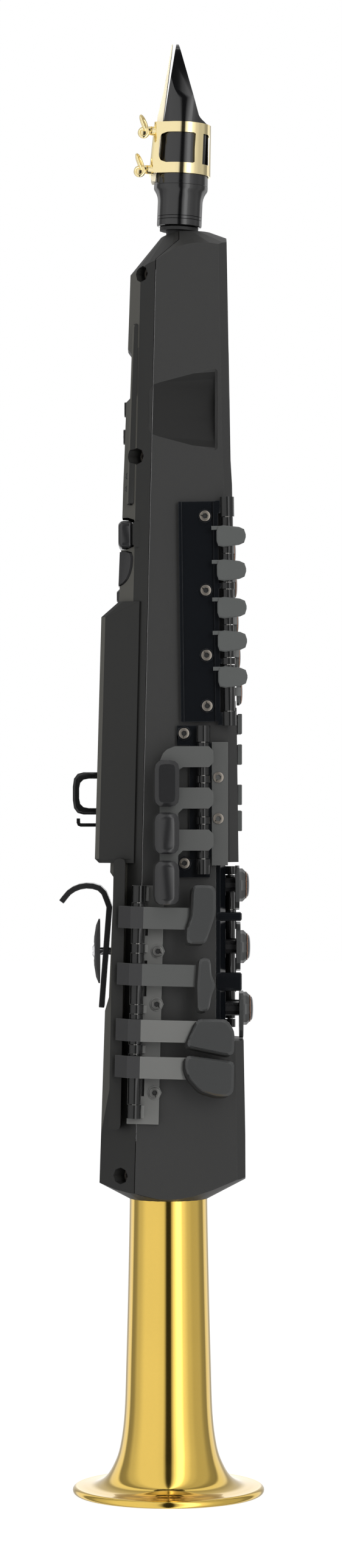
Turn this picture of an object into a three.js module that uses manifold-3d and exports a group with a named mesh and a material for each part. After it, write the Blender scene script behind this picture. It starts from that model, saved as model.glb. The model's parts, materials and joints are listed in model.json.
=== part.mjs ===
// A straight electronic wind controller: a long two-shell body with saxophone keys on rods,
// a single-reed mouthpiece on a corked neck, and a flared bell that it stands on.
// Millimetres. +Z runs up the instrument, +X is its front and -Y the player's right side.
// The origin is on the bell's axis, at the plane of its rim.

import * as THREE from 'three';
import { mergeVertices } from 'three/addons/utils/BufferGeometryUtils.js';
import Module from 'manifold-3d';

const wasm = await Module();
wasm.setup();

// Clearances shared by all pieces
const fit = 0.3;
const overrun = 4;
const flatTolerance = 0.02;
const weldTolerance = 1e-4;

// Body: heights of its ends, how far it reaches from the bell's axis, and its shell
const body = {
  bottom: 142.4,
  top: 608.5,
  backReach: 33.3,
  frontReach: 37,
  halfWidth: 21,
  wall: 2.4,
  frontInset: 6,
  bellSeatDepth: 17,
  bottomSlopeShare: 0.53,
  frontBevel: 4,
  frontBevelDrop: 5,
};
const bodyHeight = body.top - body.bottom;

// Facets round each kind of round form
const sides = {
  rod: 8,
  bore: 6,
  sleeve: 8,
  post: 8,
  screwBoss: 8,
  cup: 10,
  cone: 24,
  bell: 30,
  scoop: 48,
  well: 8,
  mouth: 20,
  tube: 14,
  small: 10,
  bar: 16,
  band: 12,
  strip: 10,
};

// Height up the body, then back and front as shares of their reach
const bodyStationShares = [
  [0, 1.006, 1],
  [0.068, 0.976, 0.996],
  [0.195, 0.919, 0.968],
  [0.209, 0.862, 0.958],
  [0.308, 0.805, 0.927],
  [0.332, 0.787, 0.913],
  [0.338, 0.844, 0.91],
  [0.484, 0.772, 0.889],
  [0.617, 0.715, 0.854],
  [0.706, 0.667, 0.83],
  [0.737, 0.655, 0.824],
  [0.762, 0.64, 0.805],
  [0.823, 0.61, 0.792],
  [0.829, 0.53, 0.79],
  [0.871, 0.517, 0.781],
  [0.878, 0.586, 0.778],
  [0.961, 0.547, 0.759],
  [1, 0.53, 0.751],
];

// Ridge between the two rear facets, and the seam of the shells, at the bottom and the top
const facets = {
  ridgeBottom: 23.3,
  ridgeTop: 12.9,
  seamBottom: 16.3,
  seamTop: 6.1,
  panelShare: 0.42,
  ridgeShare: 0.77,
};

// Neck: where its axis leaves the body and how it leans forward
const neck = {
  x: 5,
  collarRadius: 9.5,
  collarLift: 0.8,
  collarHeight: 2.5,
  tubeRadius: 6.3,
  boreRadius: 4.4,
  tubeLength: 34,
  flangeRadius: 11,
  flangeThickness: 3,
  corkThickness: 1.4,
  corkLength: 28,
  corkStart: 5,
};
const neckLean = THREE.MathUtils.degToRad(2.5);

// Bell: a spun tube that flares to a rolled rim
const bell = {
  throatRadius: 18.75,
  rimRadius: 46.3,
  rollRadius: 1.9,
  wall: 1.2,
  footDepth: 0.3,
};
const bellTop = body.bottom + body.bellSeatDepth + overrun;
const bellFlareShares = [
  [1, 0], [0.702, 0.031], [0.442, 0.0635], [0.271, 0.0998], [0.2, 0.137], [0.158, 0.18],
  [0.124, 0.233], [0.097, 0.296], [0.073, 0.371], [0.053, 0.452], [0.036, 0.58], [0.024, 0.74],
];

const X = new THREE.Vector3(1, 0, 0);
const Y = new THREE.Vector3(0, 1, 0);
const Z = new THREE.Vector3(0, 0, 1);

function solidFrom(geometry) {
  const bare = geometry.index ? geometry.toNonIndexed() : geometry.clone();
  bare.deleteAttribute('normal');
  bare.deleteAttribute('uv');
  const merged = mergeVertices(bare, weldTolerance);
  const places = merged.attributes.position;
  const corners = [];
  const [a, b, c] = [new THREE.Vector3(), new THREE.Vector3(), new THREE.Vector3()];
  let volume = 0;
  for (let i = 0; i < merged.index.count; i += 3) {
    const ids = [merged.index.getX(i), merged.index.getX(i + 1), merged.index.getX(i + 2)];
    if (new Set(ids).size < 3) continue;
    corners.push(ids);
    a.fromBufferAttribute(places, ids[0]);
    b.fromBufferAttribute(places, ids[1]);
    c.fromBufferAttribute(places, ids[2]);
    volume += a.dot(b.cross(c));
  }
  if (volume < 0) corners.forEach((ids) => ids.reverse());
  return new wasm.Manifold(new wasm.Mesh({
    numProp: 3,
    vertProperties: Float32Array.from(places.array),
    triVerts: Uint32Array.from(corners.flat()),
  }));
}

function asSolid(shape) {
  return shape instanceof wasm.Manifold ? shape : solidFrom(shape);
}

function join(...shapes) {
  return shapes.map(asSolid).reduce((whole, next) => whole.add(next));
}

function cut(shape, ...tools) {
  return tools.map(asSolid).reduce((rest, tool) => rest.subtract(tool), asSolid(shape));
}

function common(...shapes) {
  return shapes.map(asSolid).reduce((whole, next) => whole.intersect(next));
}

// A block between two opposite corners
function box(low, high) {
  const [a, b] = [new THREE.Vector3(...low), new THREE.Vector3(...high)];
  const size = b.clone().sub(a);
  const middle = a.add(b).divideScalar(2);
  return new THREE.BoxGeometry(size.x, size.y, size.z).translate(middle.x, middle.y, middle.z);
}

// A round bar from one point to another
function bar(from, to, radius, facets = sides.bar) {
  const [a, b] = [new THREE.Vector3(...from), new THREE.Vector3(...to)];
  const along = b.clone().sub(a);
  const middle = a.add(b).divideScalar(2);
  return new THREE.CylinderGeometry(radius, radius, along.length(), facets)
    .applyQuaternion(new THREE.Quaternion().setFromUnitVectors(Y, along.clone().normalize()))
    .translate(middle.x, middle.y, middle.z);
}

// A profile of [radius, height] turned about Z. It starts and ends on the axis, or is a closed ring.
function turned(profile, facets) {
  const onAxis = profile[0][0] === 0;
  const points = (onAxis ? profile : [...profile, profile[0]]).map(([r, z]) => new THREE.Vector2(r, z));
  return new THREE.LatheGeometry(points, facets).rotateX(Math.PI / 2);
}

// An outline with its corners rounded
function softShape(outline, radius) {
  const points = outline.map(([u, v]) => new THREE.Vector2(u, v));
  const shape = new THREE.Shape();
  points.forEach((corner, i) => {
    if (radius === 0) {
      if (i === 0) shape.moveTo(corner.x, corner.y);
      else shape.lineTo(corner.x, corner.y);
      return;
    }
    const before = points.at(i - 1);
    const after = points[(i + 1) % points.length];
    const start = cornerPoint(corner, before, radius);
    const end = cornerPoint(corner, after, radius);
    if (i === 0) shape.moveTo(start.x, start.y);
    else shape.lineTo(start.x, start.y);
    shape.quadraticCurveTo(corner.x, corner.y, end.x, end.y);
  });
  shape.closePath();
  return shape;
}

// The point a radius away from a corner, never past the middle of the side
function cornerPoint(corner, neighbour, radius) {
  const side = neighbour.clone().sub(corner);
  const reach = Math.min(radius, side.length() * halfSideShare);
  return corner.clone().add(side.setLength(reach));
}
const halfSideShare = 0.42;

// A prism of an outline between two depths along an axis, with rounded corners and bevelled ends
function prism(basis, outline, from, to, { corner = 0, edge = 0, curve = 2, steps = 1 } = {}) {
  const low = Math.min(from, to);
  const length = Math.abs(to - from);
  const geometry = new THREE.ExtrudeGeometry(softShape(outline, corner), {
    depth: length - 2 * edge,
    bevelEnabled: edge > 0,
    bevelThickness: edge,
    bevelSize: edge,
    bevelOffset: -edge,
    bevelSegments: steps,
    curveSegments: curve,
  });
  return geometry.translate(0, 0, low + edge).applyMatrix4(basis);
}

// The same with end faces that are drawn in by an edge in proportion to the outline
function cushion(basis, outline, from, to, { corner, edge, curve = 2 }) {
  const rim = softShape(outline, corner).getPoints(curve).slice(0, -1);
  if (THREE.ShapeUtils.isClockWise(rim)) rim.reverse();
  const bounds = new THREE.Box2().setFromPoints(rim);
  const middle = bounds.getCenter(new THREE.Vector2());
  const size = bounds.getSize(new THREE.Vector2());
  const inset = new THREE.Vector2(1 - 2 * edge / size.x, 1 - 2 * edge / size.y);
  const small = rim.map((point) => point.clone().sub(middle).multiply(inset).add(middle));
  const levels = [[small, from], [rim, from + edge], [rim, to - edge], [small, to]];
  return loft(levels.map(([points, z]) => points.map((point) => [point.x, point.y, z]))).applyMatrix4(basis);
}

const alongX = new THREE.Matrix4().makeBasis(Y, Z, X);
const alongY = new THREE.Matrix4().makeBasis(X, Z, Y);
const alongZ = new THREE.Matrix4();

// Outlines are [y, z] along X, [x, z] along Y and [x, y] along Z
const prismX = (outline, from, to, options) => prism(alongX, outline, from, to, options);
const prismY = (outline, from, to, options) => prism(alongY, outline, from, to, options);
const prismZ = (outline, from, to, options) => prism(alongZ, outline, from, to, options);

// A turned piece whose axis points along X from a centre
function turnedX(profile, [x, y, z], facets) {
  return turned(profile, facets).applyMatrix4(alongX).translate(x, y, z);
}

// A skin through rings of points that lie one above the other
function loft(rings) {
  const count = rings[0].length;
  const points = rings.flat();
  const faces = [];
  for (let level = 0; level + 1 < rings.length; level += 1) {
    for (let i = 0; i < count; i += 1) {
      const next = (i + 1) % count;
      const [p, q] = [level * count + i, level * count + next];
      faces.push(p, q, q + count, p, q + count, p + count);
    }
  }
  const lid = THREE.ShapeUtils.triangulateShape(rings[0].map(([x, y]) => new THREE.Vector2(x, y)), []);
  const roof = points.length - count;
  lid.forEach(([a, b, c]) => {
    faces.push(a, c, b);
    faces.push(roof + a, roof + b, roof + c);
  });
  const geometry = new THREE.BufferGeometry();
  geometry.setAttribute('position', new THREE.Float32BufferAttribute(points.flat(), 3));
  geometry.setIndex(faces);
  return geometry;
}

function between(low, high, share) {
  return low + (high - low) * share;
}

// The value at a height in rows of [height, value, ...]
function readTable(rows, height, column) {
  const last = rows.length - 1;
  if (height <= rows[0][0]) return rows[0][column];
  if (height >= rows[last][0]) return rows[last][column];
  const i = rows.findIndex((row) => row[0] >= height);
  const [low, high] = [rows[i - 1], rows[i]];
  return between(low[column], high[column], (height - low[0]) / (high[0] - low[0]));
}

const heightShare = (z) => (z - body.bottom) / bodyHeight;
const backX = (z) => -body.backReach * readTable(bodyStationShares, heightShare(z), 1);
const frontX = (z) => body.frontReach * readTable(bodyStationShares, heightShare(z), 2);
const ridgeX = (z) => -between(facets.ridgeBottom, facets.ridgeTop, heightShare(z));
const seamX = (z) => -between(facets.seamBottom, facets.seamTop, heightShare(z));

// One level of the body's outline, drawn in by an inset
function bodyRing(z, inset, backInset, frontInset) {
  const back = backX(z) + backInset;
  const front = frontX(z) - frontInset;
  const half = body.halfWidth - inset;
  const panel = body.halfWidth * facets.panelShare - inset / 2;
  const ridge = body.halfWidth * facets.ridgeShare - inset;
  const right = [
    [back, -panel],
    [ridgeX(z) + inset, -ridge],
    [seamX(z) + inset, -half],
    [front - body.frontBevel, -half],
    [front, -half + body.frontBevelDrop],
  ];
  const left = right.map(([x, y]) => [x, -y]).reverse();
  return [...right, ...left].map(([x, y]) => [x, y, z]);
}

function bodyLoft(low, high, inset, backInset, frontInset) {
  const heights = bodyStationShares.map(([share]) => body.bottom + share * bodyHeight);
  const levels = [low, ...heights.filter((z) => z > low && z < high), high];
  return loft(levels.map((z) => bodyRing(z, inset, backInset, frontInset)));
}

// The body's lower end is a shallow cone round the bell, its upper end a leaning cone at the neck
function endCones() {
  const reach = 2 * body.frontReach;
  const seat = bell.throatRadius + fit;
  const low = [[0, body.bottom], [seat, body.bottom],
    [seat + reach, body.bottom + reach * body.bottomSlopeShare], [seat + reach, body.top], [0, body.top]];
  const slope = Math.tan(topCone.slope);
  const spread = topCone.radius + bodyHeight / 2;
  const high = [[0, 0], [topCone.radius, 0], [spread, (topCone.radius - spread) * slope],
    [spread, -2 * bodyHeight], [0, -2 * bodyHeight]];
  const roof = turned(high, sides.cone).rotateY(-topCone.lean).translate(neck.x, 0, body.top);
  return common(turned(low, sides.cone), roof);
}
const topCone = {
  radius: 9.2,
  slope: THREE.MathUtils.degToRad(35.6),
  lean: THREE.MathUtils.degToRad(15.4),
};

// Battery bulge on the back of the body
const bulge = {
  bottom: 304.5,
  top: 430,
  shoulder: 422.5,
  reachBottom: 35.4,
  reachTop: 32.3,
  backHalfWidth: 14.5,
  frontHalfWidth: 19.4,
  edge: 2,
  wall: 2.2,
};

function bulgeSolid(inset) {
  const ring = (z, reach) => {
    const back = -reach + inset;
    const right = [
      [back, -bulge.backHalfWidth + inset + bulge.edge],
      [back + bulge.edge, -bulge.backHalfWidth + inset],
      [ridgeX(z) + facets.seamTop / 2, -bulge.frontHalfWidth + inset],
    ];
    const left = right.map(([x, y]) => [x, -y]).reverse();
    return [...right, ...left].map(([x, y]) => [x, y, z]);
  };
  const low = bulge.bottom + inset;
  return loft([
    ring(low, bulge.reachBottom - bulge.edge),
    ring(low + bulge.edge, bulge.reachBottom),
    ring(bulge.shoulder - inset, bulge.reachTop),
    ring(bulge.top - inset, -backX(bulge.top)),
  ]);
}

// Guard rails beside the buttons, and the guard beside the lower keys on the right
const rail = {
  top: 563.3,
  bottom: 476.2,
  width: 4.2,
  topX: -17.2,
  bottomX: -20.2,
  inner: 8,
  outer: 15.4,
  edge: 0.8,
  corner: 1.6,
};
const keyGuard = {
  top: 306.8,
  bottom: 177,
  topX: -26.2,
  bottomX: -28.6,
  width: 5.6,
  inner: 9,
  outer: 22.6,
  corner: 2.2,
};

function uprightOutline({ top, bottom, topX, bottomX, width }) {
  return [[topX, top], [topX + width, top], [bottomX + width, bottom], [bottomX, bottom]];
}

function rails() {
  const options = { corner: rail.corner, edge: rail.edge };
  const guardOptions = { corner: keyGuard.corner };
  return join(
    prismY(uprightOutline(rail), -rail.outer, -rail.inner, options),
    prismY(uprightOutline(rail), rail.inner, rail.outer, options),
    prismY(uprightOutline(keyGuard), -keyGuard.outer, -keyGuard.inner, guardOptions),
  );
}

// Wells of the housing screws on the rear facets
const well = {
  radius: 4,
  heights: [587, 499.5, 154.5],
  depth: 5,
  sideShare: 0.57,
  wall: 1.6,
};

function wells(extra) {
  const direction = new THREE.Vector3(Math.sqrt(1 - well.sideShare ** 2), well.sideShare, 0);
  return well.heights.flatMap((z) => [-1, 1].map((side) => {
    const mouth = new THREE.Vector3(ridgeX(z), side * body.halfWidth * facets.ridgeShare, z);
    const inward = direction.clone().multiply(new THREE.Vector3(1, -side, 1));
    const floor = mouth.clone().addScaledVector(inward, well.depth + extra);
    const outside = mouth.clone().addScaledVector(inward, -2 * well.depth);
    return solidFrom(bar(outside.toArray(), floor.toArray(), well.radius + extra, sides.well));
  }));
}

// Hollow for the hand in the right side: part of a cone whose axis lies outside the body
const scoop = {
  backX: -9.6,
  frontX: 23.5,
  z: 521.5,
  backHalfHeight: 11.3,
  frontHalfHeight: 20.6,
  frontDepth: 8,
  edge: 1.2,
};
const scoopAxisOut = (scoop.frontHalfHeight ** 2 - scoop.frontDepth ** 2) / (2 * scoop.frontDepth);

function scoopSolid(extra) {
  const frontRadius = scoopAxisOut + scoop.frontDepth + extra;
  const backRadius = Math.hypot(scoopAxisOut, scoop.backHalfHeight) + extra;
  const length = scoop.frontX - scoop.backX;
  const lip = extra > 0 ? 0 : scoop.edge;
  const profile = [[0, -extra], [backRadius, -extra], [frontRadius - lip / 2, length - lip],
    [frontRadius - lip, length + extra], [0, length + extra]];
  return turnedX(profile, [scoop.backX, -body.halfWidth - scoopAxisOut, scoop.z], sides.scoop);
}

// Steps in the front of the body under the left-hand and the right-hand finger keys
const leftStep = { bottomShare: 0.0637, topShare: 0.8907, depth: 3.5 };
const rightStep = { bottom: 219.4, top: 305, floor: 22.6, corner: 1.5 };

function stepSolids(extra) {
  const out = body.frontReach + overrun;
  const bottom = leftStack.foot + leftStep.bottomShare * leftStack.height;
  const top = leftStack.foot + leftStep.topShare * leftStack.height;
  const left = [[frontX(top) - leftStep.depth - extra, top + extra],
    [frontX(bottom) - leftStep.depth - extra, bottom - extra], [out, bottom - extra], [out, top + extra]];
  const right = [[rightStep.floor - extra, rightStep.top + extra],
    [rightStep.floor - extra, rightStep.bottom - extra],
    [out, rightStep.bottom - extra], [out, rightStep.top + extra]];
  const wide = body.halfWidth + overrun;
  return [prismY(left, -wide, wide), prismY(right, -wide, wide), tableWellSolid(extra)];
}

// The inner hollow that holds the board, the battery and the driver
function hollow() {
  const low = body.bottom + body.bellSeatDepth;
  const high = body.top - hollowHeadroom;
  const main = bodyLoft(low, high, body.wall, body.wall, body.frontInset);
  const whole = join(main, bulgeSolid(bulge.wall));
  return cut(whole, scoopSolid(body.wall), ...stepSolids(body.wall), ...wells(well.wall));
}
const hollowHeadroom = 24;

// The part of space behind the seam, moved back or forward by half the seam's gap
function behindSeam(shift) {
  const far = 2 * body.backReach;
  const outline = [
    [-far, body.bottom - overrun], [0, body.bottom - overrun], [0, body.bottom],
    [seamX(body.bottom), body.bottom + seamFoot], [seamX(body.top), body.top - seamShoulder],
    [neck.x, body.top - seamCrown], [neck.x, body.top + overrun], [-far, body.top + overrun],
  ].map(([x, z]) => [x + shift, z]);
  return prismY(outline, -far, far);
}
const seamFoot = 4.1;
const seamCrown = 5;
const seamShoulder = 15;

// Circuit board, and the ledges that it rests on inside the front shell
const board = {
  x: -3.4,
  thickness: 1.6,
  halfWidth: 9.8,
  bottom: 186,
  top: 572,
  ledgeReach: 1.2,
  ledgeDepth: 5,
  ledgeHeight: 4,
  ledgeHeights: [196, 330, 440, 566],
};

function boardLedges() {
  const front = board.x + board.thickness + fit;
  const inner = board.halfWidth - board.ledgeReach;
  const outer = body.halfWidth - body.wall / 2;
  return board.ledgeHeights.flatMap((z) => [
    box([front, inner, z], [front + board.ledgeDepth, outer, z + board.ledgeHeight]),
    box([front, -outer, z], [front + board.ledgeDepth, -inner, z + board.ledgeHeight]),
  ]);
}

// What sits in the back panel, from the top down
const display = { bottom: 531, top: 546.5, halfWidth: 6.2, thickness: 1, sunk: 0.2, corner: 1 };
const volumeButton = {
  heights: [523.2, 510],
  tall: 6.8,
  halfWidth: 4.4,
  proud: 0.9,
  length: 5,
  corner: 1.6,
};
const functionButton = { heights: [490.4, 484.3], side: 11.2, radius: 1.3, crown: 0.45, proud: 0.5, length: 5 };
const octave = {
  bottom: 455.6,
  top: 468.7,
  headroom: 1,
  backX: -24.1,
  frontX: -16.9,
  halfWidth: 16.2,
  corner: 3,
  edge: 1.4,
  gap: 0.7,
  openingCorner: 5,
  travel: 1,
};
const thumbRest = {
  gap: 0.9,
  height: 16.4,
  proud: 0.6,
  sunk: 1,
  outlineShares: [[1, 1], [1, 0.53], [0.87, 0.2], [0.68, 0.04], [0.5, 0]],
  halfWidth: 15.3,
  corner: 3,
};
thumbRest.top = octave.bottom - octave.gap - thumbRest.gap;
thumbRest.bottom = thumbRest.top - thumbRest.height;
const controller = {
  z: 432.8,
  tall: 7.2,
  halfWidth: 5.2,
  backX: -25,
  thickness: 3.2,
  stemRadius: 1.6,
  stemEnd: -16.5,
  corner: 2.4,
  edge: 1.3,
  gap: 0.8,
};

function panelBlock({ bottom, top, halfWidth }, backEnd, frontEnd, grow, corner) {
  const outline = [[-halfWidth - grow, bottom - grow], [halfWidth + grow, bottom - grow],
    [halfWidth + grow, top + grow], [-halfWidth - grow, top + grow]];
  return prismX(outline, backEnd, frontEnd, { corner });
}

function volumeSpan(z) {
  return { bottom: z - volumeButton.tall / 2, top: z + volumeButton.tall / 2, halfWidth: volumeButton.halfWidth };
}

const outsideX = -2 * body.backReach;

function panelOpenings() {
  const middle = (display.bottom + display.top) / 2;
  const paneFloor = backX(middle) + display.sunk + display.thickness + fit;
  return [
    panelBlock(display, outsideX, paneFloor, fit, display.corner),
    ...volumeButton.heights.map((z) => panelBlock(volumeSpan(z), outsideX, seamX(z) - overrun, fit,
      volumeButton.corner)),
    ...functionButton.heights.map((z) => bar([-overrun, 0, 0], [functionButton.length, 0, 0],
      functionButton.radius + fit, sides.bore).applyMatrix4(onRightFacet(z))),
    panelBlock({ ...octave, top: octave.top + octave.headroom }, outsideX, octave.frontX + octave.travel,
      octave.gap, octave.openingCorner),
    thumbRestForm(fit, body.wall, thumbRest.sunk + fit),
    panelBlock(controllerSpan(), outsideX, seamX(controller.z) - overrun, controller.gap, controller.corner),
  ];
}

// Where a function button stands on the right rear facet, turned to press square into it
function onRightFacet(z) {
  const panel = body.halfWidth * facets.panelShare;
  const width = body.halfWidth * facets.ridgeShare - panel;
  const run = ridgeX(z) - backX(z);
  const x = backX(z) + run * (functionButton.side - panel) / width;
  return new THREE.Matrix4().makeRotationZ(Math.atan2(run, width)).setPosition(x, -functionButton.side, z);
}

function controllerSpan() {
  return { bottom: controller.z - controller.tall / 2, top: controller.z + controller.tall / 2,
    halfWidth: controller.halfWidth };
}

// A patch of the body's skin with the thumb rest's outline, grown by a fit, from one level to another
function thumbRestForm(grow, proud, sunk) {
  const [low, high] = [thumbRest.bottom - thumbRest.height, thumbRest.top + thumbRest.height];
  const half = thumbRest.outlineShares.map(([out, up]) => [thumbRest.halfWidth * out + grow,
    between(thumbRest.bottom - grow, thumbRest.top + grow, up)]);
  const outline = [...half, ...half.map(([y, z]) => [-y, z]).reverse()];
  const patch = prismX(outline, outsideX, seamX(low) - overrun, { corner: thumbRest.corner });
  const skin = cut(bodyLoft(low, high, -proud, -proud, 0), bodyLoft(low, high, sunk, sunk, 0));
  return common(skin, patch);
}

// Battery door in the back of the bulge, and the two metal pieces that hang there
const door = { headroom: 7.5, lengthShare: 0.4915, halfWidth: 10.4, thickness: 2, corner: 2 };
door.top = bulge.shoulder - door.headroom;
door.bottom = door.top - (bulge.shoulder - bulge.bottom) * door.lengthShare;
const strapRing = {
  bottom: 327.6,
  top: 348.1,
  reach: 46.3,
  thickness: 3.15,
  corner: 7,
  innerCorner: 4.6,
  rootX: -33.9,
  edge: 1,
};
const cableHook = {
  z: 322.6,
  thickness: 1.7,
  reach: 44.4,
  tip: 325.8,
  width: 5,
  rootX: -33.9,
  bend: 1.9,
};

function bulgeBack(z) {
  return -between(bulge.reachBottom, bulge.reachTop, (z - bulge.bottom) / (bulge.shoulder - bulge.bottom));
}

function bulgeOpenings() {
  const inner = door.thickness + fit;
  const doorHole = prismX([[-door.halfWidth - fit, door.bottom - fit], [door.halfWidth + fit, door.bottom - fit],
    [door.halfWidth + fit, door.top + fit], [-door.halfWidth - fit, door.top + fit]],
  outsideX, bulgeBack(door.top) + inner, { corner: door.corner });
  const half = strapRing.thickness / 2 + fit;
  const legs = [strapRing.bottom + strapRing.thickness / 2, strapRing.top - strapRing.thickness / 2];
  const legHoles = legs.map((z) => box([outsideX, -half, z - half],
    [strapRing.rootX + fit, half, z + half]));
  const hookHalf = cableHook.width / 2 + fit;
  const hookTall = cableHook.thickness / 2 + fit;
  const hookHole = box([outsideX, -hookHalf, cableHook.z - hookTall],
    [cableHook.rootX + fit, hookHalf, cableHook.z + hookTall]);
  return [doorHole, ...legHoles, hookHole];
}

// Thumb hook: a bent strip on the set-back part of the body, its pad and its screw
const hook = {
  thickness: 2.7,
  halfWidth: 9,
  bottom: 234.8,
  bendBottom: 283,
  tipX: -51.6,
  tipZ: 285.6,
  archX: -39.6,
  archZ: 293.4,
  screwZ: 261.7,
  slotHalf: 3.2,
  riseShares: [0.32, 0.8],
  fallShares: [0.6, 0.3],
};
const hookPad = { halfHeight: 16, halfWidth: 8, thickness: 3.2 };
const hookScrew = { headRadius: 4, headHeight: 1.2, shankRadius: 1.9, length: 9 };

function hookHole() {
  const start = backX(hook.screwZ) - overrun;
  return bar([start, 0, hook.screwZ], [start + 2 * overrun + hookScrew.length, 0, hook.screwZ],
    hookScrew.shankRadius + fit);
}

function shells() {
  const block = common(join(bodyLoft(body.bottom, body.top, 0, 0, 0), rails()), endCones());
  const outer = join(block, bulgeSolid(0));
  const bellHole = bar([0, 0, body.bottom - overrun], [0, 0, bellTop + fit], bell.throatRadius + fit, sides.bell);
  const neckHole = bar([neck.x, 0, body.top - hollowHeadroom - overrun], [neck.x, 0, body.top + overrun],
    neck.tubeRadius + fit, sides.tube);
  const shell = cut(outer, hollow(), bellHole, neckHole, scoopSolid(0), ...stepSolids(0), ...wells(0));
  const front = join(cut(shell, behindSeam(fit / 2)), ...boardLedges());
  const rear = cut(common(shell, behindSeam(-fit / 2)), ...panelOpenings(), ...bulgeOpenings(), hookHole());
  return { front, rear };
}

// Bell, turned from its inner and outer outlines
const rollAngles = [100, 60, 20, -20, -50];

function bellSolid() {
  const flare = bell.rimRadius - bell.rollRadius - bell.throatRadius;
  const outer = bellFlareShares.map(([up, out]) => [bell.throatRadius + flare * out, body.bottom * up]);
  const inner = outer.map(([r, z], i) => {
    const [r2, z2] = outer[Math.min(i + 1, outer.length - 1)];
    const [r1, z1] = outer[Math.max(i - 1, 0)];
    const length = Math.hypot(r2 - r1, z2 - z1);
    return [r + bell.wall * (z2 - z1) / length, z + bell.wall * (r1 - r2) / length];
  }).map(([r, z]) => [r, Math.max(z, bell.footDepth)]);
  const rimCentre = [bell.rimRadius - bell.rollRadius, bell.rollRadius - bell.footDepth];
  const roll = rollAngles.map(THREE.MathUtils.degToRad)
    .map((a) => [rimCentre[0] + bell.rollRadius * Math.cos(a), rimCentre[1] + bell.rollRadius * Math.sin(a)]);
  const footHalf = Math.sqrt(bell.rollRadius ** 2 - rimCentre[1] ** 2);
  const foot = [[rimCentre[0] + footHalf, 0], [rimCentre[0] - footHalf, 0]];
  const innerRoll = [[rimCentre[0] - bell.rollRadius, rimCentre[1] - bell.rollRadius / 2]];
  return turned([
    [bell.throatRadius, bellTop], ...outer, ...roll, ...foot, ...innerRoll,
    ...inner.filter((_, i) => i % 2 === 1).reverse(), [bell.throatRadius - bell.wall, bellTop],
  ], sides.bell);
}

// Neck tube: a collar and a corked spigot that lean forward, on a plug held between the shells
function neckSolid() {
  const top = neck.collarHeight + neck.tubeLength;
  const leaning = turned([[0, neck.collarLift], [neck.collarRadius, neck.collarLift], [neck.collarRadius, neck.collarHeight],
    [neck.tubeRadius, neck.collarHeight], [neck.tubeRadius, top], [0, top]], sides.tube)
    .rotateY(neckLean).translate(neck.x, 0, body.top);
  const ceiling = body.top - hollowHeadroom;
  const plug = bar([neck.x, 0, ceiling - neck.flangeThickness], [neck.x, 0, body.top + neck.collarHeight],
    neck.tubeRadius, sides.tube);
  const flange = bar([neck.x, 0, ceiling - neck.flangeThickness], [neck.x, 0, ceiling - fit],
    neck.flangeRadius, sides.tube);
  const bore = turned([[0, neck.collarHeight], [neck.boreRadius, neck.collarHeight],
    [neck.boreRadius, top + overrun], [0, top + overrun]], sides.tube)
    .rotateY(neckLean).translate(neck.x, 0, body.top);
  return cut(join(leaning, plug, flange), bore);
}

function corkSolid() {
  const inner = neck.tubeRadius + fit;
  const outer = inner + neck.corkThickness - fit;
  const low = neck.collarHeight + neck.corkStart;
  const high = low + neck.corkLength;
  const taper = fit;
  return turned([[inner, low], [outer, low], [outer, high - neck.corkStart], [outer - taper, high],
    [inner, high]], sides.tube);
}

// Mouthpiece, drawn along its own axis with its shank's end at zero
const mouth = {
  start: neck.collarHeight + fit,
  shankRadius: 10.85,
  shankLength: 12.5,
  ringZ: 4.6,
  ringWidth: 0.8,
  bodyStart: 17.7,
  bodyRadius: 13,
  shoulder: 49.2,
  shoulderRadius: 12.1,
  length: 88.4,
  tableFootZ: 21,
  tableFootX: -12.1,
  tableX: -9.7,
  tipX: -5.1,
  tipThickness: 0.9,
  beakX: 7.2,
  beakZ: 52.5,
  tipHalfWidth: 8.2,
  boreRadius: neck.tubeRadius + neck.corkThickness + fit,
  boreDepth: 44,
  windowTop: 83,
  windowHalfWidth: 5.6,
  roof: 2.2,
};

function tableAt(z) {
  return readTable([[mouth.tableFootZ, mouth.tableFootX], [mouth.shoulder, mouth.tableX],
    [mouth.length, mouth.tipX]], z, 1);
}

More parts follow.
